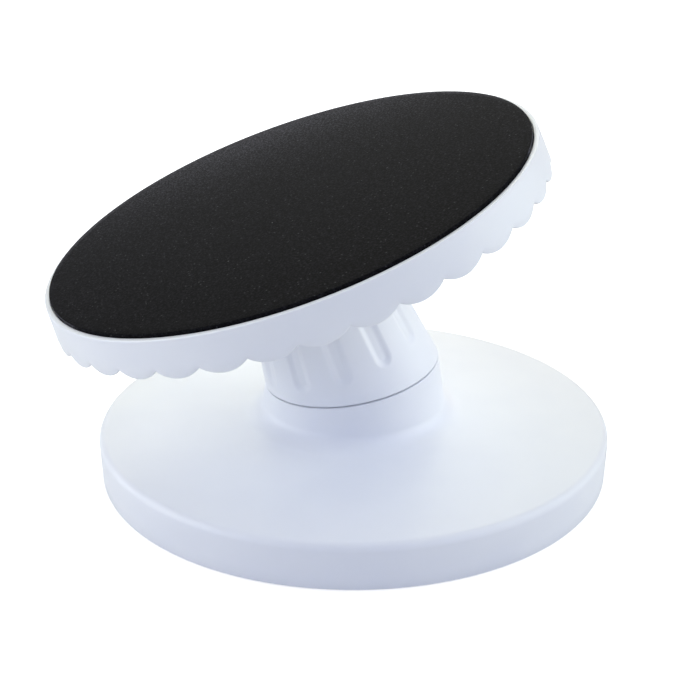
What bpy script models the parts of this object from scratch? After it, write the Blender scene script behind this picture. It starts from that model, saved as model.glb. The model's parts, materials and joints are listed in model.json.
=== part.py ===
"""Tilting cake turntable.

A round platform with a scalloped skirt turns on a ball bearing at the top of a
fluted collar.  The collar meets the base on an oblique cut, so that turning it
half a turn about the cut's axis takes the platform from full tilt to level.

Frame: origin on the base's axis at ground level, +Z up.  At rest the platform
is at full tilt and leans towards -X.  Lengths are in millimetres here, and
every mesh is written in metres.
"""
import math

import bmesh
import bpy
from mathutils import Matrix, Vector

MM = 0.001
GAP = 0.3
OVERCUT = 1.0
OVERLAP = 0.8

# Tilt: the seat of the swivel leans half as much as the platform can.
TILT_MAX = math.radians(19.2)
SEAT_TILT = TILT_MAX / 2
PIVOT_Z = 41.55
SEAT_RISE = 6.3
SEAT_RADIUS = 41.7
SEAT_GAP = 0.4

# Base disc and its neck (radii and heights above the ground).
SHELL_FOOT_Z = 1.2
BASE_RADIUS = 121.3
BASE_DRAFT = 0.4
BASE_EDGE_Z = 22.3
BASE_EDGE_ROUND = 3.5
BASE_EDGE_END_DEG = 88.0
BELL_FOOT = (56.0, 25.7)
NECK_FOOT = (43.3, 34.2)
BASE_EDGE_STEPS = 4
BELL_STEPS = 4
WALL = 2.6
DECK_TOP = 2.0
DECK_BOTTOM = -1.5
BOSS_RADIUS = 12.0
BOSS_BOTTOM = -9.3

# Inside of the base: each corner as (in from, down from) the outside's corner.
INSIDE_NECK = (WALL - 0.8, 4.5)
INSIDE_BELL = (6.0, WALL + 0.6)
INSIDE_SHOULDER = (BASE_EDGE_ROUND + 1.0, WALL)
INSIDE_WALL_TOP = (WALL + 0.2, BASE_EDGE_ROUND + 0.6)
BASE_RIB_WIDTH = 2.0
BASE_RIB_INNER = NECK_FOOT[0] + 2.7
BASE_RIB_CLEAR = 4.0
BASE_RIB_TOP = ((BASE_RADIUS - WALL + 0.6, BASE_EDGE_Z - 1.5),
                (BELL_FOOT[0], BELL_FOOT[1] - 1.3),
                (BASE_RIB_INNER, BELL_FOOT[1] + 1.6))
SCREW_BOSS_RADIUS = 4.2
SCREW_BOSS_TOP = BASE_EDGE_Z - 1.2
PILOT_TOP = 16.0

# Underside of the base.
COVER_RADIUS = 117.6
COVER_Z = (2.5, 4.7)
COVER_CHAMFER = 0.6
COVER_RIB_RADIUS = 62.0
COVER_RIB_HALF_WIDTH = 1.0
COVER_RIB_HEIGHT = 3.5
FOOT_RADIUS = 8.0
FOOT_HEIGHT = 2.2
FOOT_EDGE = 0.5
FOOT_CIRCLE = 104.0
SCREW_CIRCLE = 98.0
FOOT_COUNT = 6
OFFSET_DEG = 30.0

# Screws: head radius, head height, shank radius and length under the head.
SHANK_RADIUS = 1.5
COVER_SCREW = (3.2, 1.4, SHANK_RADIUS, 11.0)
CARRIER_SCREW = (2.4, 1.3, SHANK_RADIUS, 10.3)
RETAINING_SCREW = (4.2, 1.4, 2.0, 13.0)
SCREW_POINT_LENGTH = 2.0
SCREW_TIP = 0.4
HEAD_SHOULDER = 0.5
HEAD_FLAT = 0.75
RECESS_MOUTH = (0.55, 0.14)
RECESS_FLOOR = (0.4, 0.12)
RECESS_LEVEL = 0.35

# Swivel joint, along its own axis from the pivot.
BOLT_RADIUS = 4.0
BOLT_END = 21.5
BOLT_CHAMFER = (0.8, 1.0)
HEX_FLATS = 13.0
HEX_POCKET_DEPTH = 4.0
HEAD_PROUD = 1.0
HEAD_CHAMFER = (1.0, 0.6)
NUT_LOW = 13.3
NUT_PROFILE = ((6.0, 5.0), (5.6, 6.5))
NUT_HEX_HEIGHT = 4.6
FLAT_WASHER = (10.0, 11.9, 13.0)
WAVE_LEVEL = 10.45
WAVE_SWING = 0.55
WAVE_THICK = 0.7
WAVE_COUNT = 3
WAVE_RADII = (5.0, 10.0)
THRUST_RADII = (12.5, 23.0)
COLLAR_DECK = (4.1, 7.6)
COLLAR_SPIGOT_RADIUS = 38.4
SPIGOT_FILLET = ((1.2, 3.0), (3.0, 0.0))
BUSH_RADIUS = 6.2
BUSH_FLANGE_RADIUS = 11.0
BUSH_FLANGE_TOP = 1.6
STOP_RADIUS = 30.0
STOP_PIN_RADIUS = 2.0
STOP_PIN_TOP = 7.1
STOP_PIN_EDGE = 0.5

# Collar, along the platform's axis from the pivot.
COLLAR_MID = (34.4, 45.0)
COLLAR_TOP = (28.0, 82.0)
FLUTE_COUNT = 12
FLUTE_HALF_WIDTH = 4.9
FLUTE_DEPTH = 1.6
FLUTE_WALL = 0.6
FLUTE_END = 22.6
FLUTE_SPREAD_DEG = (0.0, 2.7, 4.8, 6.9, 9.2)
COLLAR_SHARES = (0.0, 0.13, 0.23, 0.33, 0.42, 0.54, 1.0)
COLLAR_INSIDE_TOP = FLUTE_DEPTH + 1.0
COLLAR_INSIDE_MID = FLUTE_DEPTH + 1.4
COLLAR_ABOVE_LEDGE = 1.2
COLLAR_BELOW_LEDGE = -0.6
LEDGE = (62.0, 70.0)
LEDGE_PILOT_FLOOR = 1.2
LEDGE_RADIUS = 18.5

# Bearing, along the platform's axis from the pivot.
CARRIER = (70.3, 74.3)
CARRIER_RADIUS = 25.0
CARRIER_SCREW_CIRCLE = 22.3
CARRIER_SCREWS = 3
SPINDLE_RADIUS = 6.0
SPINDLE_TOP = 89.6
SPINDLE_CHAMFER = 0.8
SPINDLE_FLANGE = (10.0, 3.4)
SPINDLE_THREAD_RADIUS = 2.0 + GAP
SPINDLE_THREAD_DEPTH = 14.0
HUB_BUSH_RADIUS = 8.7
HUB_BUSH_LOW = 80.6
BALL_COUNT = 12
BALL_RADIUS = 3.0
BALL_CIRCLE = 15.0
BALL_LEVEL = 79.0
RACE_RADII = (10.5, 19.5)
RACE_SPAN = (1.4, 4.4)
RACE_ARC_STEPS = 4
CAGE_HALF_THICK = 0.75
CAGE_INSET = 0.1
RETAINER_RADIUS = 9.6
RETAINER_THICK = 1.0

# Platform, along its axis from the pivot.
PAD_FACE = 96.2
PAD_RADIUS = 112.0
PAD_PROUD = 1.5
PAD_THICK = 2.7
RIM_TOP = PAD_FACE - PAD_PROUD
PLATE = (90.2, 93.2)
RIM_RADIUS = 114.5
RIM_ROUND = 1.0
PAD_EDGE = 0.5
SKIRT_RADIUS = 116.4
SKIRT_WALL = 2.0
LOBES = 36
LOBE_TIP = PAD_FACE - 18.4
LOBE_CUSP = PAD_FACE - 14.9
RIB_BOTTOM = 86.0
RIB_COUNT = 12
RIB_WIDTH = 1.8
RIB_OFFSET_DEG = 15.0
RING_RIBS = (54.0, 84.0)
RING_RIB_HALF_WIDTH = 1.0
HUB_RADIUS = 23.5
HUB_BOTTOM = 81.0
HUB_BORE = 9.0
SCREW_RECESS = 10.0

# Facets.
SEG_LARGE = 72
SEG_SMALL = 36
SEG_FINE = 24
SEG_FOOT = 18
SEG_HOLE = 16
SEG_SCREW = 12
SEG_SHANK = 8
SEG_BALL = (8, 6)
SEG_LOBES = LOBES * 4
SMOOTH_ANGLE = math.radians(35)

WHITE = (0.86, 0.87, 0.90)
FINISHES = {
    "white_plastic": (WHITE, 0.35, 0.0),
    "pad_rubber": ((0.035, 0.036, 0.04), 0.85, 0.0),
    "foot_rubber": ((0.05, 0.05, 0.055), 0.8, 0.0),
    "natural_acetal": ((0.82, 0.80, 0.74), 0.45, 0.0),
    "zinc_steel": ((0.62, 0.63, 0.65), 0.35, 1.0),
    "bearing_steel": ((0.75, 0.76, 0.78), 0.15, 1.0),
    "spring_steel": ((0.45, 0.46, 0.48), 0.3, 1.0),
}


# ---------------------------------------------------------------- scene helpers

def clear_scene():
    for old in list(bpy.data.objects):
        bpy.data.objects.remove(old, do_unlink=True)


def finish_material(name):
    found = bpy.data.materials.get(name)
    if found:
        return found
    color, roughness, metallic = FINISHES[name]
    made = bpy.data.materials.new(name)
    made.use_nodes = True
    shader = made.node_tree.nodes["Principled BSDF"]
    shader.inputs["Base Color"].default_value = (*color, 1.0)
    shader.inputs["Roughness"].default_value = roughness
    shader.inputs["Metallic"].default_value = metallic
    return made


def make_axis(name, parent, height, tilt):
    """An empty whose +Z is a joint's axis, leaning towards -X by tilt."""
    axis = bpy.data.objects.new(name, None)
    bpy.context.collection.objects.link(axis)
    axis.parent = parent
    axis.location = (0.0, 0.0, height * MM)
    axis.rotation_euler = (0.0, -tilt, 0.0)
    return axis


def link_mesh(name, mesh, finish, parent):
    piece = bpy.data.objects.new(name, mesh)
    bpy.context.collection.objects.link(piece)
    piece.parent = parent
    if finish:
        mesh.materials.append(finish_material(finish))
    return piece


def close_mesh(name, bm):
    bmesh.ops.recalc_face_normals(bm, faces=bm.faces)
    if bm.calc_volume(signed=True) < 0:
        bmesh.ops.reverse_faces(bm, faces=bm.faces)
    mesh = bpy.data.meshes.new(name)
    bm.to_mesh(mesh)
    bm.free()
    mesh.shade_smooth()
    mesh.set_sharp_from_angle(angle=SMOOTH_ANGLE)
    return mesh


def add_boolean(piece, cutter, operation):
    cut = piece.modifiers.new(cutter.name, "BOOLEAN")
    cut.operation = operation
    cut.solver = "EXACT"
    cut.object = cutter
    cutter.hide_render = True
    cutter.display_type = "WIRE"


# ---------------------------------------------------------------- rings and lofts

def ring(radius, height, count=SEG_SMALL, tilt=0.0):
    """Points of a circle about an axis that leans by tilt, height up that axis."""
    points = []
    for step in range(count):
        angle = 2 * math.pi * step / count
        points.append(ring_point(radius, height, angle, tilt))
    return points


def ring_point(radius, height, angle, tilt=0.0):
    flat = Vector((radius * math.cos(angle), radius * math.sin(angle), height))
    return Matrix.Rotation(-tilt, 3, "Y") @ flat


def moved(points, x=0.0, y=0.0, z=0.0):
    offset = Vector((x, y, z))
    return [point + offset for point in points]


def arc(centre, radius, start, end, steps):
    """(radius, height) pairs along a round corner; angles in degrees."""
    pairs = []
    for step in range(steps + 1):
        turn = math.radians(start + (end - start) * step / steps)
        r = centre[0] + radius * math.cos(turn)
        z = centre[1] + radius * math.sin(turn)
        pairs.append((r, z))
    return pairs


def bridge(bm, lower, upper):
    """Faces between two closed rings that start at the same angle."""
    if len(lower) == len(upper):
        for i, vert in enumerate(lower):
            j = (i + 1) % len(lower)
            bm.faces.new((vert, lower[j], upper[j], upper[i]))
        return
    few, many = sorted((lower, upper), key=len)
    a = b = 0
    while a < len(few) or b < len(many):
        next_few = (a + 1) / len(few)
        next_many = (b + 1) / len(many)
        here = few[a % len(few)]
        there = many[b % len(many)]
        if next_many <= next_few + 1e-9 and b < len(many):
            bm.faces.new((here, there, many[(b + 1) % len(many)]))
            b += 1
        else:
            bm.faces.new((here, there, few[(a + 1) % len(few)]))
            a += 1


def loft(rings, closed=False, body=None):
    """A mesh through rings of points (mm); open ends are capped."""
    bm = body or bmesh.new()
    loops = []
    for points in rings:
        loops.append([bm.verts.new(point * MM) for point in points])
    for lower, upper in zip(loops, loops[1:]):
        bridge(bm, lower, upper)
    if closed:
        bridge(bm, loops[-1], loops[0])
    else:
        bm.faces.new(loops[0])
        bm.faces.new(loops[-1])
    return bm


def turned(name, profile, finish, parent, count=SEG_SMALL, closed=True):
    """A turned piece: (radius, height) pairs spun about the parent's axis."""
    bm = loft([ring(r, z, count) for r, z in profile], closed)
    return link_mesh(name, close_mesh(name, bm), finish, parent)


def washer_profile(inner, outer, low, high):
    return [(inner, low), (outer, low), (outer, high), (inner, high)]


def round_bars(name, places, radius, low, high, parent, count=SEG_HOLE):
    """Cutters or bosses: upright cylinders at (x, y) places, in one mesh."""
    bm = bmesh.new()
    for x, y in places:
        rings = [moved(ring(radius, z, count), x, y) for z in (low, high)]
        loft(rings, body=bm)
    return link_mesh(name, close_mesh(name, bm), None, parent)


def around(circle, count, offset=0.0):
    places = []
    for step in range(count):
        angle = math.radians(offset) + 2 * math.pi * step / count
        places.append((circle * math.cos(angle), circle * math.sin(angle)))
    return places


def rib_bars(name, count, outline, width, parent, offset=0.0):
    """Radial ribs: a side outline of (radius, height) pairs, width thick, in one mesh."""
    bm = bmesh.new()
    for step in range(count):
        turn = Matrix.Rotation(math.radians(offset) + 2 * math.pi * step / count, 3, "Z")
        rings = []
        for y in (-width / 2, width / 2):
            rings.append([turn @ Vector((r, y, z)) for r, z in outline])
        loft(rings, body=bm)
    return link_mesh(name, close_mesh(name, bm), None, parent)


def hexagon(flats, height):
    """Six points with the given distance across flats."""
    return ring(flats / 2 / math.cos(math.pi / 6), height, 6)


def cross_ring(reach, half_width, height):
    """Twelve points round a cross recess, starting at the +X arm's end."""
    points = []
    arm = [(reach, half_width), (half_width, half_width), (half_width, reach)]
    for quarter in range(4):
        turn = Matrix.Rotation(quarter * math.pi / 2, 3, "Z")
        for x, y in arm:
            points.append(turn @ Vector((x, y, height)))
    return points


# ---------------------------------------------------------------- base

def base_top_profile():
    """Outside of the base from the foot of its wall to the foot of the neck."""
    edge = (BASE_RADIUS - BASE_EDGE_ROUND, BASE_EDGE_Z - BASE_EDGE_ROUND)
    pairs = [(BASE_RADIUS - BASE_DRAFT, SHELL_FOOT_Z)]
    pairs += arc(edge, BASE_EDGE_ROUND, 0, BASE_EDGE_END_DEG, BASE_EDGE_STEPS)
    reach = BELL_FOOT[0] - NECK_FOOT[0]
    drop = NECK_FOOT[1] - BELL_FOOT[1]
    for step in range(BELL_STEPS + 1):
        turn = math.pi / 2 * (1 - step / BELL_STEPS)
        r = NECK_FOOT[0] + reach * (1 - math.cos(turn))
        z = NECK_FOOT[1] - drop * math.sin(turn)
        pairs.append((r, z))
    return pairs


def build_base_shell(parent):
    outside = base_top_profile()
    rings = [ring(r, z, SEG_LARGE) for r, z in outside]
    seat = SEAT_RISE - SEAT_GAP / 2
    bore = BOLT_RADIUS + GAP
    seat_rings = [
        (SEAT_RADIUS, seat, SEG_LARGE),
        (SEAT_RADIUS - WALL, seat, SEG_SMALL),
        (SEAT_RADIUS - WALL, DECK_TOP, SEG_SMALL),
        (bore, DECK_TOP, SEG_FINE),
        (bore, BOSS_BOTTOM, SEG_FINE),
        (BOSS_RADIUS, BOSS_BOTTOM, SEG_FINE),
        (BOSS_RADIUS, DECK_BOTTOM, SEG_FINE),
        (SEAT_RADIUS - WALL, DECK_BOTTOM, SEG_SMALL),
    ]
    for radius, rise, count in seat_rings:
        tilted = ring(radius, rise, count, SEAT_TILT)
        rings.append(moved(tilted, z=PIVOT_Z))
    edge = (BASE_RADIUS, BASE_EDGE_Z)
    corners = ((NECK_FOOT, INSIDE_NECK), (BELL_FOOT, INSIDE_BELL),
               (edge, INSIDE_SHOULDER), (edge, INSIDE_WALL_TOP))
    inside = [(outer[0] - step[0], outer[1] - step[1]) for outer, step in corners]
    inside.append((BASE_RADIUS - WALL - BASE_DRAFT, SHELL_FOOT_Z))
    rings += [ring(r, z, SEG_SMALL) for r, z in inside]
    bm = loft(rings, closed=True)
    shell = link_mesh("base_shell", close_mesh("base_shell", bm), "white_plastic", parent)
    add_base_ribs(shell, parent)
    add_hex_pocket(shell, parent)
    add_stop_hole(shell, parent)
    return shell


def add_base_ribs(shell, parent):
    low = COVER_Z[1] + BASE_RIB_CLEAR
    outline = [(BASE_RIB_INNER, low), (BASE_RIB_TOP[0][0], low), *BASE_RIB_TOP]
    ribs = rib_bars("base_ribs", FOOT_COUNT, outline, BASE_RIB_WIDTH, parent, OFFSET_DEG)
    add_boolean(shell, ribs, "UNION")
    places = around(SCREW_CIRCLE, FOOT_COUNT, OFFSET_DEG)
    boss_low, boss_high = COVER_Z[1] + GAP, SCREW_BOSS_TOP
    bosses = round_bars("base_bosses", places, SCREW_BOSS_RADIUS, boss_low, boss_high, parent)
    add_boolean(shell, bosses, "UNION")
    hole, low = SHANK_RADIUS + GAP, COVER_Z[1] - OVERCUT
    pilots = round_bars("base_pilots", places, hole, low, PILOT_TOP, parent, SEG_SCREW)
    add_boolean(shell, pilots, "DIFFERENCE")


def add_hex_pocket(shell, parent):
    rings = []
    for rise in (BOSS_BOTTOM - OVERCUT, BOSS_BOTTOM + HEX_POCKET_DEPTH):
        flat = hexagon(HEX_FLATS + 2 * GAP, rise)
        leaned = [Matrix.Rotation(-SEAT_TILT, 3, "Y") @ point for point in flat]
        rings.append(moved(leaned, z=PIVOT_Z))
    pocket = link_mesh("bolt_pocket", close_mesh("bolt_pocket", loft(rings)), None, parent)
    add_boolean(shell, pocket, "DIFFERENCE")


def add_stop_hole(shell, parent):
    rings = []
    for rise in (DECK_BOTTOM - OVERCUT, DECK_TOP + OVERCUT):
        hole = moved(ring(STOP_PIN_RADIUS + GAP, rise, SEG_HOLE), y=STOP_RADIUS)
        leaned = [Matrix.Rotation(-SEAT_TILT, 3, "Y") @ point for point in hole]
        rings.append(moved(leaned, z=PIVOT_Z))
    hole = link_mesh("stop_hole", close_mesh("stop_hole", loft(rings)), None, parent)
    add_boolean(shell, hole, "DIFFERENCE")


def build_bottom_cover(parent):
    low, high = COVER_Z
    rib_out = COVER_RIB_RADIUS + COVER_RIB_HALF_WIDTH
    rib_in = COVER_RIB_RADIUS - COVER_RIB_HALF_WIDTH
    rib_top = high + COVER_RIB_HEIGHT
    rings = [
        ring(COVER_RADIUS - COVER_CHAMFER, low, SEG_LARGE),
        ring(COVER_RADIUS, low + COVER_CHAMFER, SEG_LARGE),
        ring(COVER_RADIUS, high, SEG_LARGE),
        ring(rib_out, high, SEG_FINE),
        ring(rib_out, rib_top, SEG_FINE),
        ring(rib_in, rib_top, SEG_FINE),
        ring(rib_in, high, SEG_FINE),
    ]
    cover = link_mesh("bottom_cover", close_mesh("bottom_cover", loft(rings)), "white_plastic", parent)
    places = around(SCREW_CIRCLE, FOOT_COUNT, OFFSET_DEG)
    hole, low, high = SHANK_RADIUS + GAP, low - OVERCUT, high + OVERCUT
    holes = round_bars("cover_holes", places, hole, low, high, parent, SEG_SCREW)
    add_boolean(cover, holes, "DIFFERENCE")
    return cover


def build_feet(parent):
    profile = [(FOOT_RADIUS - FOOT_EDGE, 0.0), (FOOT_RADIUS, FOOT_EDGE), (FOOT_RADIUS, FOOT_HEIGHT)]
    mesh = None
    places = around(FOOT_CIRCLE, FOOT_COUNT) + [(0.0, 0.0)]
    names = [f"foot_{n + 1}" for n in range(FOOT_COUNT)] + ["foot_centre"]
    for name, (x, y) in zip(names, places):
        if mesh is None:
            first = turned(name, profile, "foot_rubber", parent, SEG_FOOT, closed=False)
            mesh = first.data
            foot = first
        else:
            foot = link_mesh(name, mesh, None, parent)
        foot.location = (x * MM, y * MM, 0.0)


def screw_mesh(name, head_radius, head_height, shank_radius, length):
    """A cross-head screw, head up, with the underside of the head at zero."""
    mouth = [head_radius * share for share in RECESS_MOUTH]
    floor = [head_radius * share for share in RECESS_FLOOR]
    rings = [
        ring(shank_radius * SCREW_TIP, -length, SEG_SHANK),
        ring(shank_radius, -length + SCREW_POINT_LENGTH, SEG_SHANK),
        ring(shank_radius, 0.0, SEG_SHANK),
        ring(head_radius, 0.0, SEG_SCREW),
        ring(head_radius, head_height * HEAD_SHOULDER, SEG_SCREW),
        ring(head_radius * HEAD_FLAT, head_height, SEG_SCREW),
        cross_ring(*mouth, head_height),
        cross_ring(*floor, head_height * RECESS_LEVEL),
    ]
    return close_mesh(name, loft(rings))


def build_cover_screws(parent):
    mesh = screw_mesh("cover_screw", *COVER_SCREW)
    mesh.materials.append(finish_material("zinc_steel"))
    for number, (x, y) in enumerate(around(SCREW_CIRCLE, FOOT_COUNT, OFFSET_DEG), 1):
        screw = link_mesh(f"cover_screw_{number}", mesh, None, parent)
        screw.location = (x * MM, y * MM, (COVER_Z[0] - GAP) * MM)
        screw.rotation_euler = (math.pi, 0.0, 0.0)


# ---------------------------------------------------------------- swivel joint

def build_swivel_bolt(parent):
    head_low = BOSS_BOTTOM - HEAD_PROUD
    head_high = BOSS_BOTTOM + HEX_POCKET_DEPTH - GAP
    rings = [
        hexagon(HEX_FLATS - HEAD_CHAMFER[0], head_low),
        hexagon(HEX_FLATS, head_low + HEAD_CHAMFER[1]),
        hexagon(HEX_FLATS, head_high),
        ring(BOLT_RADIUS, head_high, SEG_FINE),
        ring(BOLT_RADIUS, BOLT_END - BOLT_CHAMFER[1], SEG_FINE),
        ring(BOLT_RADIUS - BOLT_CHAMFER[0], BOLT_END, SEG_FINE),
    ]
    link_mesh("swivel_bolt", close_mesh("swivel_bolt", loft(rings)), "zinc_steel", parent)


def build_lock_nut(parent):
    bore = BOLT_RADIUS + GAP
    top = NUT_LOW + NUT_PROFILE[-1][1]
    rings = [
        ring(bore, NUT_LOW, SEG_FINE),
        hexagon(HEX_FLATS, NUT_LOW),
        hexagon(HEX_FLATS, NUT_LOW + NUT_HEX_HEIGHT),
    ]
    rings += [ring(r, NUT_LOW + z, SEG_FINE) for r, z in NUT_PROFILE]
    rings.append(ring(bore, top, SEG_FINE))
    link_mesh("lock_nut", close_mesh("lock_nut", loft(rings, closed=True)), "zinc_steel", parent)


def build_wave_spring(parent):
    """A flat spring washer that rises and falls round its ring."""
    half = WAVE_THICK / 2
    rings = []
    for radius, lift in washer_profile(*WAVE_RADII, -half, half):
        points = []
        for step in range(SEG_SMALL):
            angle = 2 * math.pi * step / SEG_SMALL
            wave = WAVE_SWING * math.sin(WAVE_COUNT * angle)
            points.append(ring_point(radius, WAVE_LEVEL + lift + wave, angle))
        rings.append(points)
    bm = loft(rings, closed=True)
    link_mesh("wave_spring", close_mesh("wave_spring", bm), "spring_steel", parent)


def build_swivel_stack(parent):
    build_swivel_bolt(parent)
    build_lock_nut(parent)
    build_wave_spring(parent)
    thrust = washer_profile(*THRUST_RADII, DECK_TOP + GAP, COLLAR_DECK[0] - GAP)
    turned("thrust_washer", thrust, "natural_acetal", parent, SEG_FINE)
    flat = washer_profile(BOLT_RADIUS + GAP, *FLAT_WASHER)
    turned("flat_washer", flat, "zinc_steel", parent, SEG_FINE)
    pin_tip = STOP_PIN_RADIUS - STOP_PIN_EDGE
    pin_profile = [
        (pin_tip, DECK_BOTTOM),
        (STOP_PIN_RADIUS, DECK_BOTTOM + STOP_PIN_EDGE),
        (STOP_PIN_RADIUS, STOP_PIN_TOP - STOP_PIN_EDGE),
        (pin_tip, STOP_PIN_TOP),
    ]
    pin = turned("stop_pin", pin_profile, "zinc_steel", parent, SEG_SCREW, closed=False)
    pin.location = (0.0, STOP_RADIUS * MM, 0.0)


def build_swivel_bushing(parent):
    """A flanged sleeve pressed into the collar's deck; it turns on the bolt."""
    bore = BOLT_RADIUS + GAP
    deck_top = COLLAR_DECK[1]
    profile = [
        (bore, DECK_TOP + GAP),
        (BUSH_RADIUS, DECK_TOP + GAP),
        (BUSH_RADIUS, deck_top + GAP),
        (BUSH_FLANGE_RADIUS, deck_top + GAP),
        (BUSH_FLANGE_RADIUS, deck_top + BUSH_FLANGE_TOP),
        (bore, deck_top + BUSH_FLANGE_TOP),
    ]
    turned("swivel_bushing", profile, "natural_acetal", parent, SEG_FINE)


# ---------------------------------------------------------------- collar

def flute_angles():
    """Angles for one flute's pitch: close together across the flute."""
    half_pitch = 180.0 / FLUTE_COUNT
    offsets = [-a for a in reversed(FLUTE_SPREAD_DEG[1:])] + list(FLUTE_SPREAD_DEG)
    angles = []
    for flute in range(FLUTE_COUNT):
        middle = half_pitch + 2 * half_pitch * flute
        for offset in offsets:
            angles.append(math.radians(middle + offset))
        angles.append(math.radians(middle + half_pitch))
    return angles


def flute_depth(angle, radius, height):
    """Depth of the nearest flute at a point of the collar's outside."""
    pitch = 2 * math.pi / FLUTE_COUNT
    across = ((angle / pitch) % 1.0 - 0.5) * pitch * radius
    along = min(height - FLUTE_END, 0.0)
    reach = math.hypot(across, along) / FLUTE_HALF_WIDTH
    if reach >= 1.0:
        return 0.0
    rise = min((1 - reach) / FLUTE_WALL, 1.0)
    return FLUTE_DEPTH * rise * rise * (3 - 2 * rise)


def collar_outside_point(angle, share):
    """share 0 is the seat's rim and 1 the middle ring; the loft is straight."""
    seat = ring_point(SEAT_RADIUS, SEAT_RISE + SEAT_GAP / 2, angle, SEAT_TILT)
    middle = ring_point(COLLAR_MID[0], COLLAR_MID[1], angle, TILT_MAX)
    point = seat.lerp(middle, share)
    axis = Matrix.Rotation(-TILT_MAX, 3, "Y") @ Vector((0.0, 0.0, 1.0))
    height = point.dot(axis)
    outward = point - axis * height
    depth = flute_depth(angle, outward.length, height)
    return point - outward.normalized() * depth


def collar_outside_rings():
    angles = flute_angles()
    rings = []
    for share in COLLAR_SHARES:
        rings.append([collar_outside_point(angle, share) for angle in angles])
    top = []
    for angle in angles:
        depth = flute_depth(angle, COLLAR_TOP[0], COLLAR_TOP[1])
        top.append(ring_point(COLLAR_TOP[0] - depth, COLLAR_TOP[1], angle, TILT_MAX))
    rings.append(top)
    return rings


def bridge_uneven(bm, lower, upper):
    """Faces between rings whose points aren't evenly spread: by nearest angle."""
    step_a = len(lower)
    step_b = len(upper)
    a = b = 0
    while a < step_a or b < step_b:
        next_a = lower[(a + 1) % step_a]
        next_b = upper[(b + 1) % step_b]
        here, there = lower[a % step_a], upper[b % step_b]
        across_a = (next_a.co - there.co).length
        across_b = (next_b.co - here.co).length
        if b >= step_b or (a < step_a and across_a <= across_b):
            bm.faces.new((here, next_a, there))
            a += 1
        else:
            bm.faces.new((here, next_b, there))
            b += 1


def build_collar(parent):
    """Built in the seat's frame, so every tilt is taken from the seat's."""
    lean = Matrix.Rotation(SEAT_TILT, 4, "Y")
    bm = bmesh.new()
    outside = [[bm.verts.new(p * MM) for p in points] for points in collar_outside_rings()]
    for lower, upper in zip(outside, outside[1:]):
        bridge(bm, lower, upper)
    start = math.pi / FLUTE_COUNT - math.radians(FLUTE_SPREAD_DEG[-1])
    upper = [
        (COLLAR_TOP[0] - COLLAR_INSIDE_TOP, COLLAR_TOP[1]),
        (COLLAR_TOP[0] - COLLAR_ABOVE_LEDGE, LEDGE[1]),
        (LEDGE_RADIUS, LEDGE[1]),
        (LEDGE_RADIUS, LEDGE[0]),
        (COLLAR_TOP[0] - COLLAR_BELOW_LEDGE, LEDGE[0]),
        (COLLAR_MID[0] - COLLAR_INSIDE_MID, COLLAR_MID[1]),
    ]
    seat = SEAT_RISE + SEAT_GAP / 2
    lower = [(COLLAR_SPIGOT_RADIUS - r, COLLAR_DECK[1] + z) for r, z in SPIGOT_FILLET]
    lower += [
        (BUSH_RADIUS + GAP, COLLAR_DECK[1]),
        (BUSH_RADIUS + GAP, COLLAR_DECK[0]),
        (COLLAR_SPIGOT_RADIUS, COLLAR_DECK[0]),
        (COLLAR_SPIGOT_RADIUS, seat),
    ]
    loops = []
    for pairs, tilt in ((upper, TILT_MAX), (lower, SEAT_TILT)):
        for radius, height in pairs:
            loops.append([bm.verts.new(p * MM) for p in even_ring(radius, height, start, tilt)])
    bridge_uneven(bm, outside[-1], loops[0])
    for below, above in zip(loops, loops[1:]):
        bridge(bm, below, above)
    bridge_uneven(bm, loops[-1], outside[0])
    bm.transform(lean)
    shell = link_mesh("collar_shell", close_mesh("collar_shell", bm), "white_plastic", parent)
    cut_stop_slot(shell, parent)
    return shell


def even_ring(radius, height, start, tilt):
    points = []
    for step in range(SEG_SMALL):
        angle = start + 2 * math.pi * step / SEG_SMALL
        points.append(ring_point(radius, height, angle, tilt))
    return points


def cut_stop_slot(shell, parent):
    """A half-circle slot for the stop pin, with room for the pin's own width."""
    room = 2 * GAP
    inner = STOP_RADIUS - STOP_PIN_RADIUS - room
    outer = STOP_RADIUS + STOP_PIN_RADIUS + room
    extra = math.asin((STOP_PIN_RADIUS + room) / STOP_RADIUS)
    start = -math.pi / 2 - extra
    sweep = math.pi + 2 * extra
    steps = 24
    rings = []
    for height in (COLLAR_DECK[0] - OVERCUT, COLLAR_DECK[1] + OVERCUT):
        angles = [start + sweep * step / steps for step in range(steps + 1)]
        points = [ring_point(outer, height, angle) for angle in angles]
        points += [ring_point(inner, height, angle) for angle in reversed(angles)]
        rings.append(points)
    slot = link_mesh("stop_slot", close_mesh("stop_slot", loft(rings)), None, parent)
    add_boolean(shell, slot, "DIFFERENCE")


def cut_carrier_pilots(shell, parent):
    places = around(CARRIER_SCREW_CIRCLE, CARRIER_SCREWS)
    hole, low, high = SHANK_RADIUS + GAP, LEDGE[0] + LEDGE_PILOT_FLOOR, LEDGE[1] + OVERCUT
    pilots = round_bars("carrier_pilots", places, hole, low, high, parent, SEG_SCREW)
    add_boolean(shell, pilots, "DIFFERENCE")


# ---------------------------------------------------------------- bearing

def build_carrier(parent):
    low, high = CARRIER
    profile = washer_profile(SPINDLE_RADIUS + GAP, CARRIER_RADIUS, low, high)
    carrier = turned("bearing_carrier", profile, "natural_acetal", parent)
    places = around(CARRIER_SCREW_CIRCLE, CARRIER_SCREWS)
    hole, bottom, top = SHANK_RADIUS + GAP, low - OVERCUT, high + OVERCUT
    holes = round_bars("carrier_holes", places, hole, bottom, top, parent, SEG_SCREW)
    add_boolean(carrier, holes, "DIFFERENCE")
    mesh = screw_mesh("carrier_screw", *CARRIER_SCREW)
    mesh.materials.append(finish_material("zinc_steel"))
    for number, (x, y) in enumerate(places, 1):
        screw = link_mesh(f"carrier_screw_{number}", mesh, None, parent)
        screw.location = (x * MM, y * MM, (high + GAP) * MM)


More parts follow.
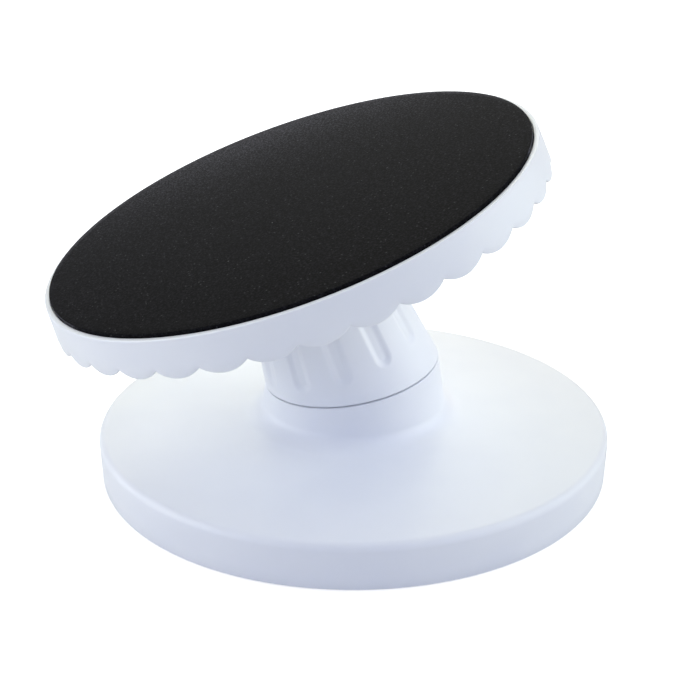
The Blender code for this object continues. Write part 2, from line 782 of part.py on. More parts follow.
def build_spindle(parent):
    flange_radius, flange_thick = SPINDLE_FLANGE
    flange_top = CARRIER[0] - GAP
    profile = [
        (flange_radius, flange_top - flange_thick),
        (flange_radius, flange_top),
        (SPINDLE_RADIUS, flange_top),
        (SPINDLE_RADIUS, SPINDLE_TOP - SPINDLE_CHAMFER),
        (SPINDLE_RADIUS - SPINDLE_CHAMFER, SPINDLE_TOP),
        (SPINDLE_THREAD_RADIUS, SPINDLE_TOP),
        (SPINDLE_THREAD_RADIUS, SPINDLE_TOP - SPINDLE_THREAD_DEPTH),
    ]
    turned("spindle", profile, "bearing_steel", parent, SEG_FINE, closed=False)


def race_profile(side):
    """Ring with a round groove; side -1 is the lower race and +1 the upper."""
    inner, outer = RACE_RADII
    near = BALL_LEVEL + side * RACE_SPAN[0]
    far = BALL_LEVEL + side * RACE_SPAN[1]
    groove = BALL_RADIUS + GAP
    edge = math.degrees(math.asin(RACE_SPAN[0] / groove))
    if side > 0:
        curve = arc((BALL_CIRCLE, BALL_LEVEL), groove, edge, 180 - edge, RACE_ARC_STEPS)
    else:
        curve = arc((BALL_CIRCLE, BALL_LEVEL), groove, -edge, edge - 180, RACE_ARC_STEPS)
    return [(outer, far), (outer, near)] + curve + [(inner, near), (inner, far)]


def build_ball_cage(parent):
    low, high = BALL_LEVEL - CAGE_HALF_THICK, BALL_LEVEL + CAGE_HALF_THICK
    profile = washer_profile(RACE_RADII[0] + CAGE_INSET, RACE_RADII[1] - CAGE_INSET, low, high)
    cage = turned("ball_cage", profile, "natural_acetal", parent, SEG_FINE)
    places = around(BALL_CIRCLE, BALL_COUNT)
    hole, low, high = BALL_RADIUS + GAP, low - OVERCUT, high + OVERCUT
    holes = round_bars("cage_holes", places, hole, low, high, parent, SEG_BALL[0])
    add_boolean(cage, holes, "DIFFERENCE")


def build_balls(parent):
    bm = bmesh.new()
    across, along = SEG_BALL
    bmesh.ops.create_uvsphere(bm, u_segments=across, v_segments=along, radius=BALL_RADIUS * MM)
    mesh = close_mesh("ball", bm)
    mesh.materials.append(finish_material("bearing_steel"))
    for number, (x, y) in enumerate(around(BALL_CIRCLE, BALL_COUNT), 1):
        ball = link_mesh(f"ball_{number:02d}", mesh, None, parent)
        ball.location = (x * MM, y * MM, BALL_LEVEL * MM)


def build_retainer(parent):
    top = PLATE[0] + RETAINER_THICK
    washer = washer_profile(SPINDLE_THREAD_RADIUS, RETAINER_RADIUS, PLATE[0], top)
    turned("retaining_washer", washer, "zinc_steel", parent, SEG_FINE)
    mesh = screw_mesh("retaining_screw", *RETAINING_SCREW)
    screw = link_mesh("retaining_screw", mesh, "zinc_steel", parent)
    screw.location = (0.0, 0.0, (top + GAP) * MM)


# ---------------------------------------------------------------- platform

def lobe_height(angle):
    """Height of the skirt's lower edge: round lobes that meet in cusps."""
    share = (angle * LOBES / (2 * math.pi)) % 1.0
    across = 2 * min(share, 1.0 - share)
    half_chord = math.pi * SKIRT_RADIUS / LOBES
    depth = LOBE_CUSP - LOBE_TIP
    radius = (half_chord ** 2 + depth ** 2) / (2 * depth)
    sink = radius - math.sqrt(radius ** 2 - (across * half_chord) ** 2)
    return LOBE_TIP + sink


def skirt_radius(height):
    share = (RIM_TOP - height) / (RIM_TOP - LOBE_TIP)
    return RIM_RADIUS + (SKIRT_RADIUS - RIM_RADIUS) * share


def skirt_edge(inset):
    points = []
    for step in range(SEG_LOBES):
        angle = 2 * math.pi * step / SEG_LOBES
        height = lobe_height(angle)
        points.append(ring_point(skirt_radius(height) - inset, height, angle))
    return points


def platform_inner_rings():
    """The plate's underside from the screw's recess out to the skirt."""
    pairs = [
        (SCREW_RECESS, PLATE[1]),
        (SCREW_RECESS, PLATE[0] - GAP),
        (HUB_BORE, PLATE[0] - GAP),
        (HUB_BORE, BALL_LEVEL + RACE_SPAN[1] + GAP),
        (RACE_RADII[1] + GAP, BALL_LEVEL + RACE_SPAN[1] + GAP),
        (RACE_RADII[1] + GAP, HUB_BOTTOM),
        (HUB_RADIUS, HUB_BOTTOM),
        (HUB_RADIUS, PLATE[0]),
    ]
    for middle in RING_RIBS:
        inner, outer = middle - RING_RIB_HALF_WIDTH, middle + RING_RIB_HALF_WIDTH
        pairs.append((inner, PLATE[0]))
        pairs.append((inner, RIB_BOTTOM))
        pairs.append((outer, RIB_BOTTOM))
        pairs.append((outer, PLATE[0]))
    return [ring(r, z, SEG_SMALL) for r, z in pairs]


def build_platform(parent):
    rings = platform_inner_rings()
    inner_top = skirt_radius(PLATE[0]) - SKIRT_WALL
    rings.append(ring(inner_top, PLATE[0], SEG_LARGE))
    rings.append(skirt_edge(SKIRT_WALL))
    rings.append(skirt_edge(0.0))
    corner = (RIM_RADIUS - RIM_ROUND, RIM_TOP - RIM_ROUND)
    for r, z in arc(corner, RIM_ROUND, 0, 90, 2):
        rings.append(ring(r, z, SEG_LARGE))
    rings.append(ring(PAD_RADIUS + GAP, RIM_TOP, SEG_LARGE))
    rings.append(ring(PAD_RADIUS + GAP, PLATE[1], SEG_LARGE))
    bm = loft(rings, closed=True)
    plate = link_mesh("platform", close_mesh("platform", bm), "white_plastic", parent)
    inner, outer = HUB_RADIUS - OVERLAP, inner_top + OVERLAP
    outline = washer_profile(inner, outer, RIB_BOTTOM, PLATE[0] + OVERLAP)
    ribs = rib_bars("platform_ribs", RIB_COUNT, outline, RIB_WIDTH, parent, RIB_OFFSET_DEG)
    add_boolean(plate, ribs, "UNION")
    return plate


def build_pad(parent):
    low = PAD_FACE - PAD_THICK
    shoulder = (PAD_RADIUS, PAD_FACE - PAD_EDGE)
    profile = [(PAD_RADIUS, low), shoulder, (PAD_RADIUS - PAD_EDGE, PAD_FACE)]
    turned("non_slip_pad", profile, "pad_rubber", parent, SEG_LARGE, closed=False)


def build_hub_bushing(parent):
    profile = washer_profile(SPINDLE_RADIUS + GAP, HUB_BUSH_RADIUS, HUB_BUSH_LOW, SPINDLE_TOP)
    turned("hub_bushing", profile, "natural_acetal", parent, SEG_FINE)


# ---------------------------------------------------------------- assembly

def build_turntable():
    clear_scene()
    base_axis = make_axis("base_axis", None, 0.0, 0.0)
    seat_axis = make_axis("seat_axis", base_axis, PIVOT_Z, SEAT_TILT)
    swivel_axis = make_axis("swivel_axis", base_axis, PIVOT_Z, SEAT_TILT)
    spin_axis = make_axis("spin_axis", swivel_axis, 0.0, TILT_MAX - SEAT_TILT)
    cage_axis = make_axis("cage_axis", swivel_axis, 0.0, TILT_MAX - SEAT_TILT)
    fixed_axis = make_axis("spindle_axis", swivel_axis, 0.0, TILT_MAX - SEAT_TILT)

    build_base_shell(base_axis)
    build_bottom_cover(base_axis)
    build_feet(base_axis)
    build_cover_screws(base_axis)
    build_swivel_stack(seat_axis)

    collar = build_collar(swivel_axis)
    build_swivel_bushing(swivel_axis)
    cut_carrier_pilots(collar, fixed_axis)
    build_carrier(fixed_axis)
    build_spindle(fixed_axis)
    turned("lower_race", race_profile(-1), "bearing_steel", fixed_axis, SEG_FINE)
    build_retainer(fixed_axis)

    build_ball_cage(cage_axis)
    build_balls(cage_axis)

    build_platform(spin_axis)
    turned("upper_race", race_profile(1), "bearing_steel", spin_axis, SEG_FINE)
    build_hub_bushing(spin_axis)
    build_pad(spin_axis)
    bpy.context.view_layer.update()


build_turntable()
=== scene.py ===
"""Looks of the tilting cake turntable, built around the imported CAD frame.

The moulded pieces are rebuilt as fine meshes in the frames of the CAD joints, and
every other piece is the CAD node or a finer copy of it with its own material.
Lengths in this script are millimetres unless a name ends in _M.
"""
import json
import math

import bmesh
import bpy
from mathutils import Matrix, Vector


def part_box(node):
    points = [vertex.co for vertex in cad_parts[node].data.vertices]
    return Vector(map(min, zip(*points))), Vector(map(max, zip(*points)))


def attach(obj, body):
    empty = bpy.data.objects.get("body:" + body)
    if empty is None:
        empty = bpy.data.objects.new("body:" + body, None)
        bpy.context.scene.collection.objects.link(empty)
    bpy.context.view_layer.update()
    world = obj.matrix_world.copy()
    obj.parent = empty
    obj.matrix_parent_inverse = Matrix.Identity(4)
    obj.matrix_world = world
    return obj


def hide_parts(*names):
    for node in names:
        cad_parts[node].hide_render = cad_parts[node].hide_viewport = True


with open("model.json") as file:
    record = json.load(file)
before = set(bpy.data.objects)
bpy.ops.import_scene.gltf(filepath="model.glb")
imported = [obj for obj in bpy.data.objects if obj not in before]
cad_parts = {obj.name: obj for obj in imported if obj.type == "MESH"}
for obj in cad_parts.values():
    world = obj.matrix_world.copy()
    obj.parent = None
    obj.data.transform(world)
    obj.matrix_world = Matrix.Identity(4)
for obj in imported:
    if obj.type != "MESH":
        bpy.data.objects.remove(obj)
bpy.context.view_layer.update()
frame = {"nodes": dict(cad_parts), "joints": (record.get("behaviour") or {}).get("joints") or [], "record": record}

MM = 0.001
NODES = frame["nodes"]
JOINTS = {joint["name"]: joint for joint in frame["joints"]}


# ---------------------------------------------------------------- frames of the joints

def joint_frame(name):
    """Matrix from a joint's frame to the row's: +Z is the axis, +X the uphill side."""
    joint = JOINTS[name]
    up = Vector(joint["axis"]).normalized()
    side = Vector((0.0, 1.0, 0.0))
    uphill = side.cross(up).normalized()
    turn = Matrix((uphill, side, up)).transposed().to_4x4()
    return Matrix.Translation(Vector(joint["pos_m"])) @ turn


BASE = Matrix.Identity(4)
SWIVEL = joint_frame("collar_swivel")
SPIN = joint_frame("platform_spin")
PIVOT_Z = JOINTS["collar_swivel"]["pos_m"][2] / MM
SEAT_TILT = math.acos(SWIVEL.to_3x3().col[2].z)
PLATFORM_TILT = math.acos(SPIN.to_3x3().col[2].z)


class Extent:
    """Radii and heights that a CAD node spans in a joint's frame, in millimetres."""

    def __init__(self, node, place):
        inverse = place.inverted()
        points = [inverse @ vert.co for vert in NODES[node].data.vertices]
        radii = [math.hypot(p.x, p.y) / MM for p in points]
        heights = [p.z / MM for p in points]
        self.inner, self.outer = min(radii), max(radii)
        self.low, self.high = min(heights), max(heights)


# ---------------------------------------------------------------- mesh helpers

def ring_point(radius, height, angle, tilt=0.0):
    """A point of a circle whose axis leans towards -X by tilt."""
    x = radius * math.cos(angle)
    z = height
    return Vector((
        x * math.cos(tilt) - z * math.sin(tilt),
        radius * math.sin(angle),
        x * math.sin(tilt) + z * math.cos(tilt),
    ))


def even_angles(count, start=0.0):
    return [start + 2 * math.pi * step / count for step in range(count)]


def ring(radius, height, angles, tilt=0.0):
    return [ring_point(radius, height, angle, tilt) for angle in angles]


def arc(centre, radius, start, end, steps):
    """(radius, height) pairs along a round corner; angles in degrees."""
    pairs = []
    for step in range(steps + 1):
        turn = math.radians(start + (end - start) * step / steps)
        pairs.append((centre[0] + radius * math.cos(turn), centre[1] + radius * math.sin(turn)))
    return pairs


def bridge(faces, lower, upper):
    """Faces between two closed rings of vertex numbers that start together."""
    if len(lower) == len(upper):
        for i, vert in enumerate(lower):
            j = (i + 1) % len(lower)
            faces.append((vert, lower[j], upper[j], upper[i]))
        return
    few, many = sorted((lower, upper), key=len)
    a = b = 0
    while a < len(few) or b < len(many):
        here, there = few[a % len(few)], many[b % len(many)]
        if b < len(many) and (b + 1) / len(many) <= (a + 1) / len(few) + 1e-9:
            faces.append((here, there, many[(b + 1) % len(many)]))
            b += 1
        else:
            faces.append((here, there, few[(a + 1) % len(few)]))
            a += 1


def loft_mesh(name, rings, closed=True):
    """A closed mesh through rings of points; a loft that isn't closed gets end caps."""
    points = []
    loops = []
    for one in rings:
        loops.append(list(range(len(points), len(points) + len(one))))
        points += [point * MM for point in one]
    faces = []
    for lower, upper in zip(loops, loops[1:]):
        bridge(faces, lower, upper)
    if closed:
        bridge(faces, loops[-1], loops[0])
    else:
        faces += [tuple(loops[0]), tuple(loops[-1])]
    mesh = bpy.data.meshes.new(name)
    mesh.from_pydata([tuple(p) for p in points], [], faces)
    return face_outwards(mesh)


def face_outwards(mesh):
    bm = bmesh.new()
    bm.from_mesh(mesh)
    bmesh.ops.recalc_face_normals(bm, faces=bm.faces)
    if bm.calc_volume(signed=True) < 0:
        bmesh.ops.reverse_faces(bm, faces=bm.faces)
    bm.to_mesh(mesh)
    bm.free()
    return mesh


def link(name, mesh, place):
    """An object at the row's origin whose mesh is moved to its place."""
    mesh.transform(place)
    piece = bpy.data.objects.new(name, mesh)
    bpy.context.scene.collection.objects.link(piece)
    return piece


SHARP_DEG = 32.0


def shade(mesh):
    """Smooth shading with creases at the sharp edges."""
    mesh.shade_smooth()
    mesh.set_sharp_from_angle(angle=math.radians(SHARP_DEG))


def turned(name, profile, place, count=128, closed=True):
    angles = even_angles(count)
    return link(name, loft_mesh(name, [ring(r, z, angles) for r, z in profile], closed), place)


def rounded_band(inner, outer, low, high, edge):
    """Profile of a washer or sleeve with all four edges rounded."""
    pairs = arc((inner + edge, low + edge), edge, 180, 270, 3)
    pairs += arc((outer - edge, low + edge), edge, 270, 360, 3)
    pairs += arc((outer - edge, high - edge), edge, 0, 90, 3)
    pairs += arc((inner + edge, high - edge), edge, 90, 180, 3)
    return pairs


def carve(piece, cutters, operation):
    """Applies an exact Boolean and removes the cutters."""
    for cutter in cutters:
        step = piece.modifiers.new(cutter.name, "BOOLEAN")
        step.operation = operation
        step.solver = "EXACT"
        step.object = cutter
    bpy.context.view_layer.update()
    graph = bpy.context.evaluated_depsgraph_get()
    result = bpy.data.meshes.new_from_object(piece.evaluated_get(graph), depsgraph=graph)
    piece.modifiers.clear()
    old = piece.data
    piece.data = result
    bpy.data.meshes.remove(old)
    for cutter in cutters:
        bpy.data.objects.remove(cutter, do_unlink=True)


def around(circle, count, offset_deg=0.0):
    places = []
    for angle in even_angles(count, math.radians(offset_deg)):
        places.append((circle * math.cos(angle), circle * math.sin(angle)))
    return places


def joined_lofts(name, lofts, place):
    """One cutter or set of bosses from several separate lofts."""
    bm = bmesh.new()
    for rings in lofts:
        part = loft_mesh(name, rings, closed=False)
        bm.from_mesh(part)
        bpy.data.meshes.remove(part)
    mesh = bpy.data.meshes.new(name)
    bm.to_mesh(mesh)
    bm.free()
    return link(name, mesh, place)


def round_bars(name, places, profile, place, count=32):
    """Upright turned bars at (x, y) places; profile is (radius, height) pairs."""
    lofts = []
    angles = even_angles(count)
    for x, y in places:
        shift = Vector((x, y, 0.0))
        lofts.append([[p + shift for p in ring(r, z, angles)] for r, z in profile])
    return joined_lofts(name, lofts, place)


def rib_bars(name, count, outline, width, place, offset_deg=0.0):
    """Radial ribs from a side outline, with a little draft on their free edge."""
    lofts = []
    for angle in even_angles(count, math.radians(offset_deg)):
        turn = Matrix.Rotation(angle, 3, "Z")
        rings = []
        for y in (-width / 2, width / 2):
            rings.append([turn @ Vector((r, y * grow, z)) for r, z, grow in outline])
        lofts.append(rings)
    return joined_lofts(name, lofts, place)


# ---------------------------------------------------------------- materials

class Shader:
    """A small builder for a node material around one Principled BSDF.

    Patterns are placed in the piece's own space, in metres, so a noise scale of 1000
    has features of about a millimetre.
    """

    def __init__(self, name):
        self.material = bpy.data.materials.new(name)
        self.material.use_nodes = True
        self.tree = self.material.node_tree
        self.bsdf = self.tree.nodes["Principled BSDF"]
        self.place = self.add("ShaderNodeTexCoord").outputs["Object"]

    def add(self, kind, **settings):
        node = self.tree.nodes.new(kind)
        for key, value in settings.items():
            setattr(node, key, value)
        return node

    def link(self, source, target):
        self.tree.links.new(source, target)

    def set(self, **values):
        for key, value in values.items():
            self.bsdf.inputs[key.replace("_", " ")].default_value = value

    def noise(self, scale, detail=3.0, rough=0.5, stretch=None):
        node = self.add("ShaderNodeTexNoise")
        node.inputs["Scale"].default_value = scale
        node.inputs["Detail"].default_value = detail
        node.inputs["Roughness"].default_value = rough
        source = self.place
        if stretch:
            mapping = self.add("ShaderNodeMapping")
            mapping.inputs["Scale"].default_value = stretch
            self.link(source, mapping.inputs["Vector"])
            source = mapping.outputs["Vector"]
        self.link(source, node.inputs["Vector"])
        return node.outputs["Fac"]

    def ramp(self, source, low, high, low_value, high_value):
        """Maps a value between two others, clamped."""
        node = self.add("ShaderNodeMapRange")
        self.link(source, node.inputs["Value"])
        for key, value in zip(("From Min", "From Max", "To Min", "To Max"),
                              (low, high, low_value, high_value)):
            node.inputs[key].default_value = value
        return node.outputs["Result"]

    def mix(self, factor, first, second):
        node = self.add("ShaderNodeMix", data_type="RGBA")
        for key, value in (("Factor", factor), ("A", first), ("B", second)):
            self.put(value, node.inputs[key])
        return node.outputs["Result"]

    def put(self, value, socket):
        if isinstance(value, bpy.types.NodeSocket):
            self.link(value, socket)
        elif isinstance(value, tuple):
            socket.default_value = (*value, 1.0)
        else:
            socket.default_value = value

    def math(self, operation, first, second):
        node = self.add("ShaderNodeMath", operation=operation)
        self.put(first, node.inputs[0])
        self.put(second, node.inputs[1])
        return node.outputs["Value"]

    def cells(self, scale, size, rarity, strength):
        """Round dots in a few cells of a Voronoi pattern."""
        pattern = self.add("ShaderNodeTexVoronoi", feature="F1")
        pattern.inputs["Scale"].default_value = scale
        self.link(self.place, pattern.inputs["Vector"])
        near = self.ramp(pattern.outputs["Distance"], size / 2, size, strength, 0.0)
        chosen = self.add("ShaderNodeSeparateColor")
        self.link(pattern.outputs["Color"], chosen.inputs["Color"])
        rare = self.ramp(chosen.outputs["Red"], rarity, rarity + 0.03, 0.0, 1.0)
        return self.math("MULTIPLY", near, rare)

    def facing(self):
        """Zero seen square on, one seen edge on."""
        node = self.add("ShaderNodeLayerWeight")
        node.inputs["Blend"].default_value = 0.5
        return node.outputs["Facing"]

    def color(self, value):
        self.put(value, self.bsdf.inputs["Base Color"])

    def roughness(self, value):
        self.put(value, self.bsdf.inputs["Roughness"])

    def bump(self, height, distance_mm, strength=1.0, after=None):
        node = self.add("ShaderNodeBump")
        node.inputs["Strength"].default_value = strength
        node.inputs["Distance"].default_value = distance_mm * MM
        self.link(height, node.inputs["Height"])
        if after:
            self.link(after, node.inputs["Normal"])
        self.link(node.outputs["Normal"], self.bsdf.inputs["Normal"])
        return node.outputs["Normal"]


def white_plastic():
    """Satin-gloss moulded polypropylene: faint flow marks, orange peel and dust."""
    m = Shader("white_plastic")
    flow = m.noise(28.0, 2.0, 0.4)
    tone = m.mix(m.ramp(flow, 0.35, 0.65, 0.0, 1.0), (0.835, 0.850, 0.892), (0.862, 0.875, 0.908))
    specks = m.ramp(m.noise(900.0, 1.0), 0.80, 0.84, 0.0, 0.25)
    m.color(m.mix(specks, tone, (0.70, 0.71, 0.74)))
    m.roughness(m.ramp(m.noise(140.0, 4.0), 0.3, 0.7, 0.32, 0.39))
    m.set(IOR=1.50, Subsurface_Weight=0.05, Subsurface_Scale=0.003)
    m.bsdf.inputs["Subsurface Radius"].default_value = (1.0, 0.9, 0.8)
    peel = m.bump(m.noise(520.0, 2.0), 0.0035)
    m.bump(m.noise(4200.0, 2.0), 0.0012, after=peel)
    return m.material


# range of the facing value over which the pad's painted sheen lightens its base colour, in place of reflected
# light at grazing angles
PAD_PAINTED_SHEEN_FROM = 0.598
PAD_PAINTED_SHEEN_TO = 0.724


def pad_rubber():
    """Closed-cell foam rubber: grain, open cells, light specks and a painted sheen, the base colour darker seen
    square on and lighter at grazing angles.
    """
    m = Shader("pad_rubber")
    mottle = m.noise(55.0, 4.0, 0.6)
    grain = m.noise(1050.0, 4.0, 0.75)
    tone = m.math("ADD", m.ramp(mottle, 0.3, 0.7, 0.0065, 0.0078),
                  m.ramp(grain, 0.46, 0.70, 0.0, 0.0285))
    # painted sheen: the base colour is scaled by view angle, darker seen square on and lighter towards grazing,
    # standing in for reflected light
    glance = m.ramp(m.facing(), PAD_PAINTED_SHEEN_FROM, PAD_PAINTED_SHEEN_TO, 0.0, 1.0)
    rise = m.math("MULTIPLY", m.math("POWER", glance, 9.0), 2.8)
    painted_sheen = m.math("ADD", rise, m.ramp(glance, 0.0, 1.0, 0.62, 1.17))
    tone = m.math("MULTIPLY", tone, painted_sheen)
    base = m.mix(tone, (0.0, 0.0, 0.0), (1.05, 1.01, 1.14))
    specks = m.math("ADD", m.cells(210.0, 0.075, 0.88, 0.34), m.cells(560.0, 0.26, 0.80, 0.10))
    m.color(m.mix(specks, base, (0.40, 0.40, 0.41)))
    m.roughness(m.ramp(grain, 0.3, 0.7, 0.50, 0.66))
    m.set(IOR=1.45, Specular_IOR_Level=0.012)
    cellular = m.bump(grain, 0.05, 0.8)
    m.bump(m.noise(420.0, 3.0), 0.03, 0.6, after=cellular)
    return m.material


def foot_rubber():
    m = Shader("foot_rubber")
    grain = m.noise(1300.0, 3.0)
    m.color(m.mix(m.ramp(grain, 0.35, 0.7, 0.0, 1.0), (0.030, 0.030, 0.033), (0.055, 0.055, 0.058)))
    m.roughness(m.ramp(m.noise(200.0, 3.0), 0.3, 0.7, 0.62, 0.8))
    m.bump(grain, 0.03, 0.7)
    return m.material


def natural_acetal():
    """Uncoloured acetal: milky, with fine turning marks."""
    m = Shader("natural_acetal")
    cloud = m.noise(90.0, 3.0)
    m.color(m.mix(m.ramp(cloud, 0.3, 0.7, 0.0, 1.0), (0.76, 0.74, 0.68), (0.82, 0.80, 0.745)))
    m.roughness(m.ramp(m.noise(700.0, 3.0), 0.3, 0.7, 0.38, 0.5))
    m.set(Subsurface_Weight=0.1, Subsurface_Scale=0.003)
    m.bump(m.noise(1.0, 2.0, stretch=(400.0, 400.0, 5200.0)), 0.008)
    return m.material


def plated_steel(name, dark, light, rough, scratch_scale):
    """Metal with cloudy plating, fine scratches and uneven gloss."""
    m = Shader(name)
    cloud = m.noise(160.0, 4.0)
    m.color(m.mix(m.ramp(cloud, 0.3, 0.7, 0.0, 1.0), dark, light))
    scratches = m.noise(1.0, 3.0, stretch=(scratch_scale, scratch_scale, 9000.0))
    m.roughness(m.ramp(scratches, 0.3, 0.7, rough - 0.06, rough + 0.08))
    m.set(Metallic=1.0)
    m.bump(scratches, 0.004, 0.7)
    return m.material


# dark tone, light tone, roughness, scratch scale
METALS = {
    "zinc_steel": ((0.52, 0.54, 0.57), (0.66, 0.67, 0.68), 0.34, 500.0),
    "bearing_steel": ((0.68, 0.69, 0.71), (0.78, 0.79, 0.80), 0.16, 300.0),
    "spring_steel": ((0.34, 0.35, 0.38), (0.46, 0.46, 0.45), 0.30, 600.0),
}
MATERIALS = {
    "white_plastic": white_plastic(),
    "pad_rubber": pad_rubber(),
    "foot_rubber": foot_rubber(),
    "natural_acetal": natural_acetal(),
}
for metal, look in METALS.items():
    MATERIALS[metal] = plated_steel(metal, *look)
SLOT_OF = {row["node"]: row["material_slot"] for row in frame["record"]["subparts"]}
BODY_OF = {}
for body_name, members in frame["record"]["behaviour"]["bodies"].items():
    for member in members:
        BODY_OF[member] = body_name


def stand_in(piece, node):
    """piece replaces a CAD node: same body, same slot, fine material."""
    mesh = piece.data
    mesh.materials.clear()
    mesh.materials.append(MATERIALS[SLOT_OF[node]])
    shade(mesh)
    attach(piece, BODY_OF[node])
    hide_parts(node)
    return piece


# ---------------------------------------------------------------- platform

LOBES = 36
LOBE_RISE = 3.5
LOBE_STEPS = 16
SKIRT_WALL = 2.0
PLATE_THICK = 3.0
# clearance between pieces that the CAD leaves free
GAP = 0.3
RIB_DEPTH = 4.2
RIB_RADII = (54.0, 84.0)
PLATFORM_RIBS = 12
PLATFORM_RIB_WIDTH = 1.8
PLATFORM_RIB_TURN_DEG = 15.0
RIM_WIDTH = 2.75
RIM_ROLL = 0.6
RECESS_ROLL = 0.3
SKIRT_EDGE = 0.85
SKIRT_FILLET = 1.2
HUB_BORE = 9.0
HUB_WALL = 3.7
HUB_DROP = 2.7
PAD_EDGE = 0.3
PAD_SIDES = 288


class Platform:
    """The platform's driving sizes, read from the CAD nodes in the spin frame."""

    plate = Extent("platform", SPIN)
    pad = Extent("non_slip_pad", SPIN)
    race = Extent("upper_race", SPIN)
    washer = Extent("retaining_washer", SPIN)
    rim_top = plate.high
    tip = plate.low
    skirt_radius = plate.outer
    rim_radius = pad.outer + RIM_WIDTH
    plate_top = pad.low - GAP
    plate_low = plate_top - PLATE_THICK


def lobe_height(angle):
    """Lower edge of the skirt: circular lobes that meet in upward cusps."""
    share = (angle * LOBES / (2 * math.pi)) % 1.0
    across = 2 * min(share, 1.0 - share)
    half_chord = math.pi * Platform.skirt_radius / LOBES
    radius = (half_chord ** 2 + LOBE_RISE ** 2) / (2 * LOBE_RISE)
    sink = radius - math.sqrt(radius ** 2 - (across * half_chord) ** 2)
    return Platform.tip + sink


def skirt_radius_at(height):
    share = (Platform.rim_top - height) / (Platform.rim_top - Platform.tip)
    return Platform.rim_radius + (Platform.skirt_radius - Platform.rim_radius) * share


def skirt_rings(angles):
    """Rings from the plate's underside down inside the skirt, round its edge and up."""
    edge = SKIRT_EDGE
    rings = []
    top = Platform.plate_low
    fillet = SKIRT_FILLET
    for share in (0.0, 0.3, 0.65, 1.0):
        turn = share * math.pi / 2
        r = skirt_radius_at(top) - SKIRT_WALL - fillet * (1 - math.sin(turn))
        z = top - fillet * (1 - math.cos(turn))
        rings.append(ring(r, z, angles))
    for share in (0.55, 1.0):
        points = []
        for angle in angles:
            bottom = lobe_height(angle) + edge
            start = top - fillet
            z = start + (bottom - start) * share
            points.append(ring_point(skirt_radius_at(z) - SKIRT_WALL, z, angle))
        rings.append(points)
    for turn_deg in (210, 240, 270, 300, 330):
        turn = math.radians(turn_deg)
        points = []
        for angle in angles:
            centre = lobe_height(angle) + edge
            middle = skirt_radius_at(centre) - SKIRT_WALL / 2
            r = middle + SKIRT_WALL / 2 * math.cos(turn)
            points.append(ring_point(r, centre + edge * math.sin(turn), angle))
        rings.append(points)
    for share in (1.0, 0.8, 0.6, 0.4, 0.2):
        points = []
        for angle in angles:
            bottom = lobe_height(angle) + edge
            start = Platform.rim_top - RIM_ROLL
            z = start + (bottom - start) * share
            points.append(ring_point(skirt_radius_at(z), z, angle))
        rings.append(points)
    return rings


def lip_rings(angles):
    """The rolled rim and the wall of the pad's recess."""
    roll = RIM_ROLL
    inner_roll = RECESS_ROLL
    recess = Platform.pad.outer + GAP
    pairs = arc((Platform.rim_radius - roll, Platform.rim_top - roll), roll, 0, 90, 6)
    pairs += arc((recess + inner_roll, Platform.rim_top - inner_roll), inner_roll, 90, 180, 3)
    pairs.append((recess, Platform.plate_top))
    return [ring(r, z, angles) for r, z in pairs]


def hub_pairs():
    """Underside of the plate from the screw's recess out to the last ring rib."""
    top, low = Platform.plate_top, Platform.plate_low
    race_top = Platform.race.high + GAP
    race_side = Platform.race.outer + GAP
    hub_low = race_top - HUB_DROP
    hub_side = race_side + HUB_WALL
    counterbore = Platform.washer.outer + 0.4
    pairs = [
        (counterbore + 0.3, top),
        (counterbore, top - 0.3),
        (counterbore, low - GAP),
        (HUB_BORE, low - GAP),
        (HUB_BORE, race_top),
        (race_side, race_top),
        (race_side, hub_low + 0.3),
        (race_side + 0.3, hub_low),
    ]
    pairs += arc((hub_side - 0.5, hub_low + 0.5), 0.5, 270, 360, 3)
    pairs += [(hub_side, low - 1.5), (hub_side + 0.45, low - 0.45), (hub_side + 1.5, low)]
    for middle in RIB_RADII:
        pairs += [(middle - 1.6, low), (middle - 1.0, low - 0.6)]
        pairs += [(middle - 0.8, low - RIB_DEPTH + 0.2), (middle - 0.6, low - RIB_DEPTH)]
        pairs += [(middle + 0.6, low - RIB_DEPTH), (middle + 0.8, low - RIB_DEPTH + 0.2)]
        pairs += [(middle + 1.0, low - 0.6), (middle + 1.6, low)]
    return pairs, hub_side


def build_platform():
    fine = even_angles(LOBES * LOBE_STEPS)
    coarse = even_angles(LOBES * LOBE_STEPS // 3)
    pairs, hub_side = hub_pairs()
    rings = [ring(r, z, coarse) for r, z in pairs]
    rings += skirt_rings(fine)
    rings += lip_rings(fine)
    plate = link("platform_moulding", loft_mesh("platform_moulding", rings), SPIN)
    low = Platform.plate_low
    inner = hub_side - 1.0
    outer = skirt_radius_at(low) - SKIRT_WALL + 0.6
    outline = [(inner, low - RIB_DEPTH, 0.75), (outer, low - RIB_DEPTH, 0.75),
               (outer, low + 0.8, 1.0), (inner, low + 0.8, 1.0)]
    ribs = rib_bars("platform_ribs", PLATFORM_RIBS, outline, PLATFORM_RIB_WIDTH, SPIN,
                    PLATFORM_RIB_TURN_DEG)
    carve(plate, [ribs], "UNION")
    return stand_in(plate, "platform")


def build_pad():
    pad = Platform.pad
    edge = PAD_EDGE
    pairs = [(pad.outer - 0.2, pad.low), (pad.outer, pad.low + 0.2)]
    pairs += arc((pad.outer - edge, pad.high - edge), edge, 0, 90, 5)
    for share in (0.97, 0.85, 0.6, 0.3, 0.08):
        pairs.append((pad.outer * share, pad.high))
    angles = even_angles(PAD_SIDES)
    rings = [ring(r, z, angles) for r, z in pairs]
    sheet = link("pad_sheet", loft_mesh("pad_sheet", rings, False), SPIN)
    return stand_in(sheet, "non_slip_pad")


# ---------------------------------------------------------------- collar

